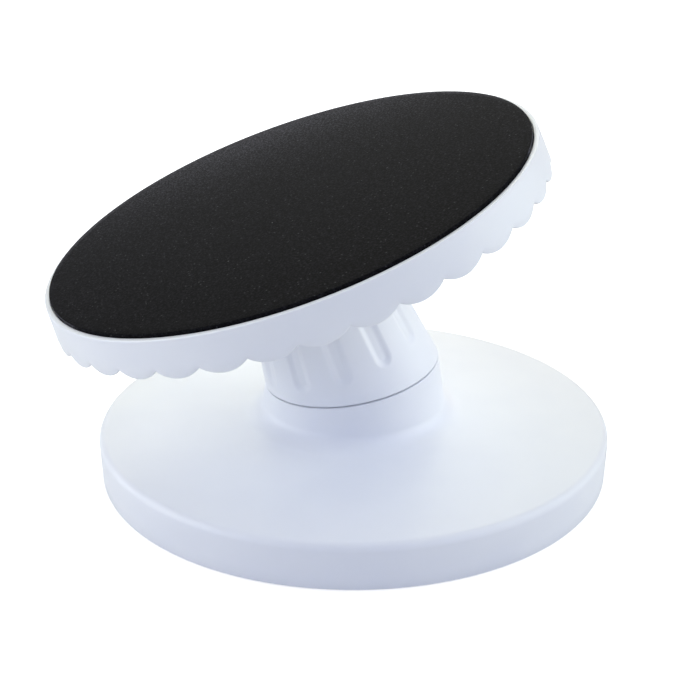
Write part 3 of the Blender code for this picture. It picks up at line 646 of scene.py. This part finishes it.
FLUTES = 12
FLUTE_HALF_WIDTH = 4.9
FLUTE_DEPTH = 1.2
FLUTE_WALL = 0.72
FLUTE_END = 22.6
COLLAR_MID = (34.4, 45.0)
COLLAR_TOP_RADIUS = 28.0
COLLAR_CLIMB = 38.0
SEAM_ROUND = 0.4
CARRIER_SCREWS = 3
CARRIER_CIRCLE = 22.3
PILOT_RADIUS = 1.8
DECK_THICK = 3.5
LEDGE_THICK = 8.0
LEDGE_BORE = 18.5
SLOT_STEPS = 64


class Collar:
    """The collar's sizes, in the swivel frame (seat) and the spin frame (top)."""

    shell = Extent("collar_shell", SPIN)
    thrust = Extent("thrust_washer", SWIVEL)
    carrier = Extent("bearing_carrier", SPIN)
    pin = Extent("stop_pin", SWIVEL)
    deck_low = thrust.high + GAP
    deck_high = deck_low + DECK_THICK
    seat = 6.72
    seat_radius = 41.7
    spigot = 38.4
    top = shell.high
    ledge_high = carrier.low - GAP
    ledge_low = ledge_high - LEDGE_THICK
    bushing_radius = 6.2


def flute_angles():
    """Angles that crowd together, half a degree apart, across each flute."""
    pitch = 360.0 / FLUTES
    offsets = [step * 0.5 for step in range(-19, 20)]
    offsets = [-12.6, -10.8] + offsets + [10.8, 12.6]
    angles = []
    for flute in range(FLUTES):
        middle = pitch * (flute + 0.5)
        angles += [math.radians(middle + offset) for offset in offsets]
        angles.append(math.radians(middle + pitch / 2))
    return angles


def flute_depth(angle, radius, height):
    """A channel with a flat floor, sloping walls, soft edges and a round lower end."""
    pitch = 2 * math.pi / FLUTES
    across = ((angle / pitch) % 1.0 - 0.5) * pitch * radius
    along = min(height - FLUTE_END, 0.0)
    reach = math.hypot(across, along) / FLUTE_HALF_WIDTH
    if reach >= 1.0:
        return 0.0
    rise = min((1 - reach) / FLUTE_WALL, 1.0)
    return FLUTE_DEPTH * rise * rise * (3 - 2 * rise)


def collar_point(angle, share, drop=0.0):
    """On the outside of the collar: share 0 at the seat, 1 at the middle ring."""
    seat = ring_point(Collar.seat_radius - drop, Collar.seat, angle, SEAT_TILT)
    middle = ring_point(COLLAR_MID[0], COLLAR_MID[1], angle, PLATFORM_TILT)
    point = seat.lerp(middle, share)
    axis = ring_point(0.0, 1.0, 0.0, PLATFORM_TILT)
    height = point.dot(axis)
    outward = point - axis * height
    depth = flute_depth(angle, outward.length, height)
    return point - outward.normalized() * depth


def collar_outside(angles):
    rings = []
    for step in range(6):
        turn = math.pi / 2 * step / 5
        inset = SEAM_ROUND * (1 - math.sin(turn))
        lift = SEAM_ROUND * (1 - math.cos(turn))
        rings.append([collar_point(angle, lift / COLLAR_CLIMB, inset) for angle in angles])
    shares = [0.022, 0.035] + [0.035 + 0.465 * step / 52 for step in range(1, 53)]
    shares += [0.5 + 0.5 * step / 14 for step in range(1, 15)]
    for share in shares:
        rings.append([collar_point(angle, share) for angle in angles])
    for step in range(1, 13):
        share = step / 12
        radius = COLLAR_MID[0] + (COLLAR_TOP_RADIUS - COLLAR_MID[0]) * share
        height = COLLAR_MID[1] + (Collar.top - COLLAR_MID[1]) * share
        points = []
        for angle in angles:
            depth = flute_depth(angle, radius, height)
            points.append(ring_point(radius - depth, height, angle, PLATFORM_TILT))
        rings.append(points)
    return rings


def collar_inside(angles):
    wall = COLLAR_TOP_RADIUS - FLUTE_DEPTH - 1.0
    upper = [
        (wall, Collar.top),
        (COLLAR_TOP_RADIUS - 1.2, Collar.ledge_high),
        (LEDGE_BORE, Collar.ledge_high),
        (LEDGE_BORE, Collar.ledge_low),
        (COLLAR_TOP_RADIUS + 0.6, Collar.ledge_low),
        (COLLAR_MID[0] - FLUTE_DEPTH - 1.4, COLLAR_MID[1]),
    ]
    bore = Collar.bushing_radius + GAP
    lower = [
        (Collar.spigot - 1.2, Collar.deck_high + 3.0),
        (Collar.spigot - 3.0, Collar.deck_high),
        (bore, Collar.deck_high),
        (bore, Collar.deck_low),
        (Collar.spigot - 0.4, Collar.deck_low),
        (Collar.spigot, Collar.deck_low + 0.4),
        (Collar.spigot, Collar.seat),
    ]
    rings = [ring(r, z, angles, PLATFORM_TILT) for r, z in upper]
    rings += [ring(r, z, angles, SEAT_TILT) for r, z in lower]
    return rings


def stop_slot():
    """The half-circle slot that the stop pin runs in."""
    pin_circle = (Collar.pin.inner + Collar.pin.outer) / 2
    half = (Collar.pin.outer - Collar.pin.inner) / 2 + 2 * GAP
    extra = math.asin(half / pin_circle)
    steps = SLOT_STEPS
    sweep = math.pi + 2 * extra
    angles = [-math.pi / 2 - extra + sweep * step / steps for step in range(steps + 1)]
    rings = []
    for height in (Collar.deck_low - 1.0, Collar.deck_high + 2.0):
        points = [ring_point(pin_circle + half, height, angle) for angle in angles]
        points += [ring_point(pin_circle - half, height, angle) for angle in reversed(angles)]
        rings.append(points)
    return link("stop_slot", loft_mesh("stop_slot", rings, closed=False), SWIVEL)


def build_collar():
    angles = flute_angles()
    rings = collar_outside(angles) + collar_inside(angles)
    pivot = Matrix.Translation((0.0, 0.0, PIVOT_Z * MM))
    shell = link("collar_moulding", loft_mesh("collar_moulding", rings), pivot)
    hole = [(PILOT_RADIUS, Collar.ledge_low + 1.2), (PILOT_RADIUS, Collar.ledge_high + 1.0)]
    pilots = round_bars("carrier_pilots", around(CARRIER_CIRCLE, CARRIER_SCREWS), hole, SPIN)
    carve(shell, [stop_slot(), pilots], "DIFFERENCE")
    return stand_in(shell, "collar_shell")


# ---------------------------------------------------------------- base

BASE_WALL = 2.6
EDGE_ROUND = 3.5
BELL_FOOT = (53.8, 25.82)
NECK_FOOT = (43.3, 32.6)
SEAT_BASE = 5.88
RIB_COUNT = 6
RIB_ROOM = 0.5
SCREW_CIRCLE = 98.0
SCREW_COUNT = 6
SCREW_TURN_DEG = 30.0
BOLT_BORE = 4.3
POCKET_RADIUS = 7.85
PIN_HOLE = 2.3
PILOT_TOP = 16.0
BASE_SIDES = 240
COVER_RIB = (61.0, 63.0)


class Base:
    """The base's sizes, in the row's frame and in the swivel frame."""

    shell = Extent("base_shell", BASE)
    cover = Extent("bottom_cover", BASE)
    thrust = Extent("thrust_washer", SWIVEL)
    bolt = Extent("swivel_bolt", SWIVEL)
    radius = shell.outer
    foot_z = shell.low
    edge_z = 22.3
    deck_top = thrust.low - GAP
    deck_low = deck_top - DECK_THICK
    boss_low = bolt.low + 1.0
    cover_top = 4.7


def base_outside():
    """Profile from the foot of the wall, over the rounded edge and up the bell."""
    edge = (Base.radius - EDGE_ROUND, Base.edge_z - EDGE_ROUND)
    pairs = [(Base.radius - 0.9, Base.foot_z), (Base.radius - 0.55, Base.foot_z + 0.12),
             (Base.radius - 0.4, Base.foot_z + 0.5)]
    for share in (0.35, 0.7):
        height = Base.foot_z + (edge[1] - Base.foot_z) * share
        pairs.append((Base.radius - 0.4 * (1 - share), height))
    pairs += arc(edge, EDGE_ROUND, 0, 88, 12)
    start = pairs[-1]
    for share in (0.25, 0.5, 0.75):
        pairs.append((start[0] + (BELL_FOOT[0] - start[0]) * share,
                      start[1] + (BELL_FOOT[1] - start[1]) * share))
    reach = BELL_FOOT[0] - NECK_FOOT[0]
    drop = NECK_FOOT[1] - BELL_FOOT[1]
    steps = 18
    for step in range(steps + 1):
        turn = math.pi / 2 * (1 - step / steps)
        pairs.append((NECK_FOOT[0] + reach * (1 - math.cos(turn)),
                      NECK_FOOT[1] - drop * math.sin(turn)))
    return pairs


def base_rings(angles):
    rings = [ring(r, z, angles) for r, z in base_outside()]
    lift = Vector((0.0, 0.0, PIVOT_Z))
    seat_edge = ring(Collar.seat_radius, SEAT_BASE - SEAM_ROUND, angles, SEAT_TILT)
    seat_outer = [point + lift for point in seat_edge]
    foot = rings[-1]
    for share in (0.25, 0.5, 0.75, 0.95):
        rings.append([a.lerp(b, share) for a, b in zip(foot, seat_outer)])
    rings.append(seat_outer)
    inner_wall = Collar.seat_radius - BASE_WALL
    bore = BOLT_BORE
    corner = (Collar.seat_radius - SEAM_ROUND, SEAT_BASE - SEAM_ROUND)
    tilted = arc(corner, SEAM_ROUND, 0, 90, 5)[1:]
    tilted += [
        (inner_wall + 0.3, SEAT_BASE),
        (inner_wall, SEAT_BASE - 0.3),
        (inner_wall, Base.deck_top),
        (bore, Base.deck_top),
        (bore, Base.boss_low),
        (11.6, Base.boss_low),
        (12.0, Base.boss_low + 0.4),
        (12.0, Base.deck_low - 1.0),
        (13.0, Base.deck_low),
        (inner_wall, Base.deck_low),
    ]
    for radius, height in tilted:
        rings.append([p + lift for p in ring(radius, height, angles, SEAT_TILT)])
    inside = [
        (NECK_FOOT[0] - BASE_WALL + 0.8, NECK_FOOT[1] - 4.5),
        (NECK_FOOT[0] - BASE_WALL + 4.0, BELL_FOOT[1] - 1.0),
        (BELL_FOOT[0] - 6.0, BELL_FOOT[1] - BASE_WALL - 0.6),
        (Base.radius - EDGE_ROUND - 1.0, Base.edge_z - BASE_WALL),
        (Base.radius - BASE_WALL - 0.9, Base.edge_z - BASE_WALL - 1.0),
        (Base.radius - BASE_WALL - 0.2, Base.edge_z - EDGE_ROUND - 0.6),
        (Base.radius - BASE_WALL - 0.4, Base.foot_z),
    ]
    rings += [ring(r, z, angles) for r, z in inside]
    return rings


def base_additions():
    """Radial ribs and screw bosses under the base's top."""
    wall = Base.radius - BASE_WALL + 0.6
    low = Base.cover.high + RIB_ROOM
    outline = [
        (NECK_FOOT[0] + 2.7, low, 0.8),
        (wall, low, 0.8),
        (wall, Base.edge_z - 1.5, 1.0),
        (BELL_FOOT[0], BELL_FOOT[1] - 1.3, 1.0),
        (NECK_FOOT[0] + 2.7, BELL_FOOT[1] + 1.6, 1.0),
    ]
    ribs = rib_bars("base_ribs", RIB_COUNT, outline, 2.0, BASE, SCREW_TURN_DEG)
    boss = [(3.9, Base.cover_top + GAP), (4.2, Base.cover_top + GAP + 0.3),
            (4.4, Base.edge_z - 1.2)]
    places = around(SCREW_CIRCLE, SCREW_COUNT, SCREW_TURN_DEG)
    bosses = round_bars("base_bosses", places, boss, BASE)
    return ribs, bosses


def leaned_bar(name, places, radius, low, high, count):
    """A straight cutter along the swivel axis."""
    return round_bars(name, places, [(radius, low), (radius, high)], SWIVEL, count)


def build_base():
    angles = even_angles(BASE_SIDES)
    shell = link("base_moulding", loft_mesh("base_moulding", base_rings(angles)), BASE)
    for extra in base_additions():
        carve(shell, [extra], "UNION")
    pilots = round_bars("base_pilots", around(SCREW_CIRCLE, SCREW_COUNT, SCREW_TURN_DEG),
                        [(PILOT_RADIUS, Base.cover_top - 1.0), (PILOT_RADIUS, PILOT_TOP)], BASE, 24)
    pocket = leaned_bar("bolt_pocket", [(0.0, 0.0)], POCKET_RADIUS,
                        Base.boss_low - 2.0, Base.boss_low + 4.0, 6)
    pin_circle = (Collar.pin.inner + Collar.pin.outer) / 2
    hole = leaned_bar("pin_hole", [(0.0, pin_circle)], PIN_HOLE,
                      Base.deck_low - 2.0, Base.deck_top + 2.0, 32)
    carve(shell, [pilots, pocket, hole], "DIFFERENCE")
    return stand_in(shell, "base_shell")


def build_cover():
    cover = Base.cover
    low, high = cover.low, Base.cover_top
    rib_in, rib_out = COVER_RIB
    pairs = [(40.0, low), (cover.outer - 2.6, low)]
    pairs += [(cover.outer - 0.6, low), (cover.outer, low + 0.6), (cover.outer, high - 0.3),
              (cover.outer - 0.3, high)]
    pairs += [(rib_out + 0.8, high), (rib_out, high + 0.8), (rib_out - 0.3, cover.high)]
    pairs += [(rib_in + 0.3, cover.high), (rib_in, high + 0.8), (rib_in - 0.8, high), (30.0, high)]
    plate = turned("cover_plate", pairs, BASE, BASE_SIDES, closed=False)
    holes = round_bars("cover_holes", around(SCREW_CIRCLE, SCREW_COUNT, SCREW_TURN_DEG),
                       [(PILOT_RADIUS, low - 1.0), (PILOT_RADIUS, high + 1.0)], BASE, 32)
    carve(plate, [holes], "DIFFERENCE")
    return stand_in(plate, "bottom_cover")


FOOT_GROOVE = (0.52, 0.66)
GROOVE_DEPTH = 0.35
FOOT_ROUND = 0.7


def build_feet():
    """Round rubber pads with a shallow ring groove in the tread."""
    for node in sorted(n for n in NODES if n.startswith("foot_")):
        low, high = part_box(node)
        centre = (low + high) / 2
        radius = (high.y - low.y) / 2 / MM + 0.12
        height = high.z / MM
        groove_in, groove_out = (radius * share for share in FOOT_GROOVE)
        pairs = [(groove_in - 0.25, 0.0), (groove_in, GROOVE_DEPTH),
                 (groove_out, GROOVE_DEPTH), (groove_out + 0.25, 0.0)]
        pairs += arc((radius - FOOT_ROUND, FOOT_ROUND), FOOT_ROUND, 270, 360, 5)
        pairs += [(radius, height - 0.2), (radius - 0.2, height)]
        place = Matrix.Translation((centre.x, centre.y, 0.0))
        foot = turned(node.replace("foot", "rubber_foot"), pairs, place, 72, closed=False)
        stand_in(foot, node)


# ---------------------------------------------------------------- screws

# head radius, head height, shank radius, length
COVER_SCREW = (3.2, 1.4, 1.5, 11.0)
CARRIER_SCREW = (2.4, 1.3, 1.5, 10.3)
RETAINING_SCREW = (4.2, 1.4, 2.0, 13.0)
THREAD_PITCH = 1.0
SCREW_SIDES = 36
DOME_DEG = 70.2


def cross_ring(reach, half_width, height):
    """Twelve points round a cross recess."""
    points = []
    for quarter in range(4):
        turn = Matrix.Rotation(quarter * math.pi / 2, 3, "Z")
        for x, y in ((reach, half_width), (half_width, half_width), (half_width, reach)):
            points.append(turn @ Vector((x, y, height)))
    return points


def screw_rings(head, head_height, shank, length):
    """A cross-head screw with a rolled thread, head up, seat at zero."""
    angles = even_angles(SCREW_SIDES)
    rings = [ring(shank * 0.3, -length, angles), ring(shank * 0.75, -length + 1.2, angles)]
    pitch = THREAD_PITCH
    steps = int((length - 2.6) / pitch * 4)
    for step in range(steps):
        crest = (0.0, 0.5, 1.0, 0.5)[step % 4]
        height = -length + 1.4 + step * pitch / 4
        rings.append(ring(shank * (0.82 + 0.18 * crest), height, angles))
    rings += [ring(shank * 0.95, -0.9, angles), ring(shank, 0.0, angles)]
    rim = head_height * 0.32
    rings += [ring(head - 0.1, 0.0, angles), ring(head, 0.1, angles), ring(head, rim, angles)]
    for step in range(1, 7):
        turn = math.radians(DOME_DEG * step / 6)
        r = head * math.cos(turn) + head * 0.02
        z = rim + (head_height - rim) * math.sin(turn) / math.sin(math.radians(DOME_DEG))
        rings.append(ring(r, z, angles))
    reach = head * 0.46
    top = head_height
    rings.append(ring(reach * 1.12, top, angles))
    rings.append(cross_ring(reach, head * 0.12, top))
    rings.append(cross_ring(reach * 0.8, head * 0.10, head_height * 0.3))
    return rings


def build_screws():
    for node in sorted(n for n in NODES if "screw" in n):
        low_corner, high_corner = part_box(node)
        centre = (low_corner + high_corner) / 2
        if node.startswith("cover"):
            place = Matrix.Translation((centre.x, centre.y, Base.cover.low * MM - GAP * MM))
            place = place @ Matrix.Rotation(math.pi, 4, "X")
            size = COVER_SCREW
        elif node.startswith("carrier"):
            local = SPIN.inverted() @ centre
            angle = round(math.atan2(local.y, local.x) / (2 * math.pi / 3)) * 2 * math.pi / 3
            spot = Vector((CARRIER_CIRCLE * math.cos(angle), CARRIER_CIRCLE * math.sin(angle),
                           Collar.carrier.high + GAP))
            place = SPIN @ Matrix.Translation(spot * MM)
            size = CARRIER_SCREW
        else:
            place = SPIN @ Matrix.Translation((0.0, 0.0, (Platform.washer.high + GAP) * MM))
            size = RETAINING_SCREW
        mesh = loft_mesh(node, screw_rings(*size), closed=False)
        stand_in(link("fine_" + node, mesh, place), node)


# ---------------------------------------------------------------- bearing and joint hardware

BALLS = 12
BALL_CIRCLE = 15.0
BALL_RADIUS = 3.0
BALL_POCKET = 3.3
BAND_SIDES = 144


def build_bands():
    """Washers and sleeves with rounded edges, two of them with a circle of holes."""
    bands = {
        "thrust_washer": (SWIVEL, 0.3),
        "flat_washer": (SWIVEL, 0.2),
        "retaining_washer": (SPIN, 0.2),
        "hub_bushing": (SPIN, 0.3),
        "ball_cage": (SPIN, 0.2),
        "bearing_carrier": (SPIN, 0.5),
    }
    drilled = {
        "ball_cage": (BALL_POCKET, BALL_CIRCLE, BALLS),
        "bearing_carrier": (PILOT_RADIUS, CARRIER_CIRCLE, CARRIER_SCREWS),
    }
    for node, (place, edge) in bands.items():
        size = Extent(node, place)
        profile = rounded_band(size.inner, size.outer, size.low, size.high, edge)
        band = turned("fine_" + node, profile, place, BAND_SIDES)
        if node in drilled:
            radius, circle, count = drilled[node]
            hole = [(radius, size.low - 1.0), (radius, size.high + 1.0)]
            holes = round_bars(node + "_holes", around(circle, count), hole, SPIN, 32)
            carve(band, [holes], "DIFFERENCE")
        stand_in(band, node)


def build_races():
    ball_level = (Extent("lower_race", SPIN).high + Extent("upper_race", SPIN).low) / 2
    for node in ("lower_race", "upper_race"):
        size = Extent(node, SPIN)
        side = 1 if node == "upper_race" else -1
        near, far = (size.low, size.high) if side > 0 else (size.high, size.low)
        middle = (size.inner + size.outer) / 2
        groove = BALL_POCKET
        edge = math.degrees(math.asin(abs(near - ball_level) / groove))
        turns = (edge, 180 - edge) if side > 0 else (-edge, edge - 180)
        chamfer = 0.3 * side
        pairs = [(size.outer - 0.3, far), (size.outer, far - chamfer),
                 (size.outer, near + chamfer), (size.outer - 0.3, near)]
        pairs += arc((middle, ball_level), groove, turns[0], turns[1], 20)
        pairs += [(size.inner + 0.3, near), (size.inner, near + chamfer),
                  (size.inner, far - chamfer), (size.inner + 0.3, far)]
        stand_in(turned("fine_" + node, pairs, SPIN, BAND_SIDES), node)


def build_balls():
    for node in sorted(n for n in NODES if n.startswith("ball_") and n != "ball_cage"):
        low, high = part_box(node)
        bm = bmesh.new()
        bmesh.ops.create_icosphere(bm, subdivisions=4, radius=BALL_RADIUS * MM)
        mesh = bpy.data.meshes.new("fine_" + node)
        bm.to_mesh(mesh)
        bm.free()
        stand_in(link("fine_" + node, mesh, Matrix.Translation((low + high) / 2)), node)


SPINDLE_RADIUS = 6.0
SPINDLE_BORE = 2.3
SPINDLE_FLANGE = 3.4


def build_spindle():
    size = Extent("spindle", SPIN)
    flange = size.low + SPINDLE_FLANGE
    pairs = [(size.outer - 0.4, size.low), (size.outer, size.low + 0.4), (size.outer, flange - 0.4),
             (size.outer - 0.4, flange), (SPINDLE_RADIUS + 0.4, flange),
             (SPINDLE_RADIUS, flange + 0.4)]
    pairs += [(SPINDLE_RADIUS, size.high - 0.9), (SPINDLE_RADIUS - 0.9, size.high),
              (SPINDLE_BORE + 0.3, size.high), (SPINDLE_BORE, size.high - 0.3)]
    pairs.append((SPINDLE_BORE, size.high - 14.0))
    stand_in(turned("fine_spindle", pairs, SPIN, 96, closed=False), "spindle")


KEPT_NODES = ("swivel_bolt", "lock_nut", "wave_spring", "stop_pin", "swivel_bushing")
BEVEL_WIDTH = 0.15
BEVEL_FROM_DEG = 40


def finish_cad_nodes():
    """The nodes that stay as packed: own material, softened edges."""
    for node in KEPT_NODES:
        piece = NODES[node]
        mesh = piece.data
        mesh.materials.clear()
        mesh.materials.append(MATERIALS[SLOT_OF[node]])
        bevel = piece.modifiers.new("soft_edges", "BEVEL")
        bevel.width = BEVEL_WIDTH * MM
        bevel.segments = 2
        bevel.limit_method = "ANGLE"
        bevel.angle_limit = math.radians(BEVEL_FROM_DEG)


# ---------------------------------------------------------------- floor, light and camera

FLOOR_LIFT = 0.75
FLOOR_HALF_M = 4.0


def build_floor():
    mesh = bpy.data.meshes.new("floor")
    half = FLOOR_HALF_M
    mesh.from_pydata([(-half, -half, 0), (half, -half, 0), (half, half, 0), (-half, half, 0)],
                     [], [(0, 1, 2, 3)])
    floor = bpy.data.objects.new("floor", mesh)
    bpy.context.scene.collection.objects.link(floor)
    m = Shader("studio_floor")
    soft = m.noise(3.0, 2.0)
    m.color(m.mix(m.ramp(soft, 0.3, 0.7, 0.0, 1.0), (0.74, 0.74, 0.75), (0.77, 0.77, 0.78)))
    m.roughness(0.9)
    m.set(Specular_IOR_Level=0.1)
    m.bsdf.inputs["Emission Color"].default_value = (1.0, 1.0, 1.0, 1.0)
    seen = m.add("ShaderNodeLightPath").outputs["Is Camera Ray"]
    m.link(m.math("MULTIPLY", seen, FLOOR_LIFT), m.bsdf.inputs["Emission Strength"])
    mesh.materials.append(m.material)


def math_node(tree, operation, first, second=None):
    node = tree.nodes.new("ShaderNodeMath")
    node.operation = operation
    for socket, value in zip(node.inputs, (first, second)):
        if isinstance(value, bpy.types.NodeSocket):
            tree.links.new(value, socket)
        elif value is not None:
            socket.default_value = value
    return node.outputs["Value"]


def band_colors(tree, turn, levels):
    """Colour round the horizon in equal steps, the last stop like the first."""
    ramp = tree.nodes.new("ShaderNodeValToRGB")
    stops = ramp.color_ramp.elements
    colors = list(levels) + [levels[0]]
    while len(stops) < len(colors):
        stops.new(0.5)
    for index, color in enumerate(colors):
        stops[index].position = index / (len(colors) - 1)
    for stop, color in zip(stops, colors):
        stop.color = (*color, 1.0)
    tree.links.new(turn, ramp.inputs["Fac"])
    return ramp.outputs["Color"]


def build_world(bands):
    """A light tent whose wall is one ring of colours per band, from the horizon up."""
    world = bpy.data.worlds.new("studio")
    bpy.context.scene.world = world
    world.use_nodes = True
    tree = world.node_tree
    place = tree.nodes.new("ShaderNodeSeparateXYZ")
    coord = tree.nodes.new("ShaderNodeTexCoord")
    tree.links.new(coord.outputs["Generated"], place.inputs["Vector"])
    x, y, z = (place.outputs[axis] for axis in "XYZ")
    signed_turn = math_node(tree, "DIVIDE", math_node(tree, "ARCTAN2", y, x), 2 * math.pi)
    turn = math_node(tree, "FRACT", math_node(tree, "ADD", signed_turn, 1.0))
    climb = math_node(tree, "MAXIMUM", math_node(tree, "ARCSINE", z), 0.0)
    level = math_node(tree, "MULTIPLY", climb, (len(bands) - 1) / (math.pi / 2))
    total = None
    for index, levels in enumerate(bands):
        away = math_node(tree, "ABSOLUTE", math_node(tree, "SUBTRACT", level, float(index)))
        weight = math_node(tree, "MAXIMUM", math_node(tree, "SUBTRACT", 1.0, away), 0.0)
        scaled = tree.nodes.new("ShaderNodeVectorMath")
        scaled.operation = "SCALE"
        tree.links.new(band_colors(tree, turn, levels), scaled.inputs[0])
        tree.links.new(weight, scaled.inputs["Scale"])
        if total is None:
            total = scaled.outputs["Vector"]
            continue
        both = tree.nodes.new("ShaderNodeVectorMath")
        tree.links.new(total, both.inputs[0])
        tree.links.new(scaled.outputs["Vector"], both.inputs[1])
        total = both.outputs["Vector"]
    seen = tree.nodes.new("ShaderNodeLightPath").outputs["Is Camera Ray"]
    choice = tree.nodes.new("ShaderNodeMix")
    choice.data_type = "RGBA"
    tree.links.new(seen, choice.inputs["Factor"])
    tree.links.new(total, choice.inputs["A"])
    choice.inputs["B"].default_value = (1.0, 1.0, 1.0, 1.0)
    background = tree.nodes["Background"]
    tree.links.new(choice.outputs["Result"], background.inputs["Color"])
    background.inputs["Strength"].default_value = 1.0


CAMERA_PLACE_M = (-0.1584, -0.5197, 0.2811)
CAMERA_TURN_DEG = (67.45, 0.083, -16.814)
CAMERA_LENS = 63.77
SENSOR_WIDTH = 36.0
CLIP_START_M = 0.01


def build_camera():
    data = bpy.data.cameras.new("camera")
    data.sensor_width = SENSOR_WIDTH
    data.lens = CAMERA_LENS
    data.clip_start = CLIP_START_M
    camera = bpy.data.objects.new("camera", data)
    bpy.context.scene.collection.objects.link(camera)
    camera.location = CAMERA_PLACE_M
    camera.rotation_euler = [math.radians(angle) for angle in CAMERA_TURN_DEG]
    bpy.context.scene.camera = camera


# rings of the light tent at 0, 30, 60 and 90 degrees up, each with twelve colours
# from +X round towards +Y
STUDIO_BANDS = (
    (
        (1.67, 1.84, 1.49), (0.03, 0.00, 0.00), (0.29, 0.00, 0.03),
        (0.00, 0.00, 0.00), (0.00, 0.00, 0.00), (2.33, 2.65, 3.00),
        (3.00, 3.00, 3.00), (1.37, 1.47, 1.89), (0.00, 0.00, 0.05),
        (0.00, 0.00, 0.00), (0.00, 0.00, 0.00), (1.98, 2.04, 1.56),
    ),
    (
        (2.56, 2.80, 3.00), (0.64, 0.63, 0.86), (2.63, 2.72, 2.37),
        (2.84, 2.93, 2.62), (0.75, 0.75, 0.91), (2.92, 3.00, 3.00),
        (2.98, 3.00, 3.00), (0.43, 0.59, 0.82), (0.00, 0.05, 0.28),
        (0.19, 0.28, 0.72), (1.26, 1.39, 1.92), (3.00, 3.00, 3.00),
    ),
    (
        (1.24, 1.38, 1.53), (0.68, 0.71, 0.42), (0.55, 0.51, 0.06),
        (0.00, 0.00, 0.00), (0.00, 0.00, 0.00), (0.54, 0.48, 0.17),
        (0.40, 0.33, 0.20), (0.00, 0.00, 0.00), (0.00, 0.00, 0.00),
        (0.00, 0.00, 0.00), (0.00, 0.00, 0.00), (1.09, 1.19, 1.54),
    ),
    ((0.28, 0.22, 0.03),) * 12,
)


build_platform()
build_pad()
build_collar()
build_base()
build_cover()
build_feet()
build_screws()
build_bands()
build_races()
build_balls()
build_spindle()
finish_cad_nodes()
build_floor()
build_world(STUDIO_BANDS)
build_camera()
bpy.context.scene.view_settings.view_transform = "Standard"
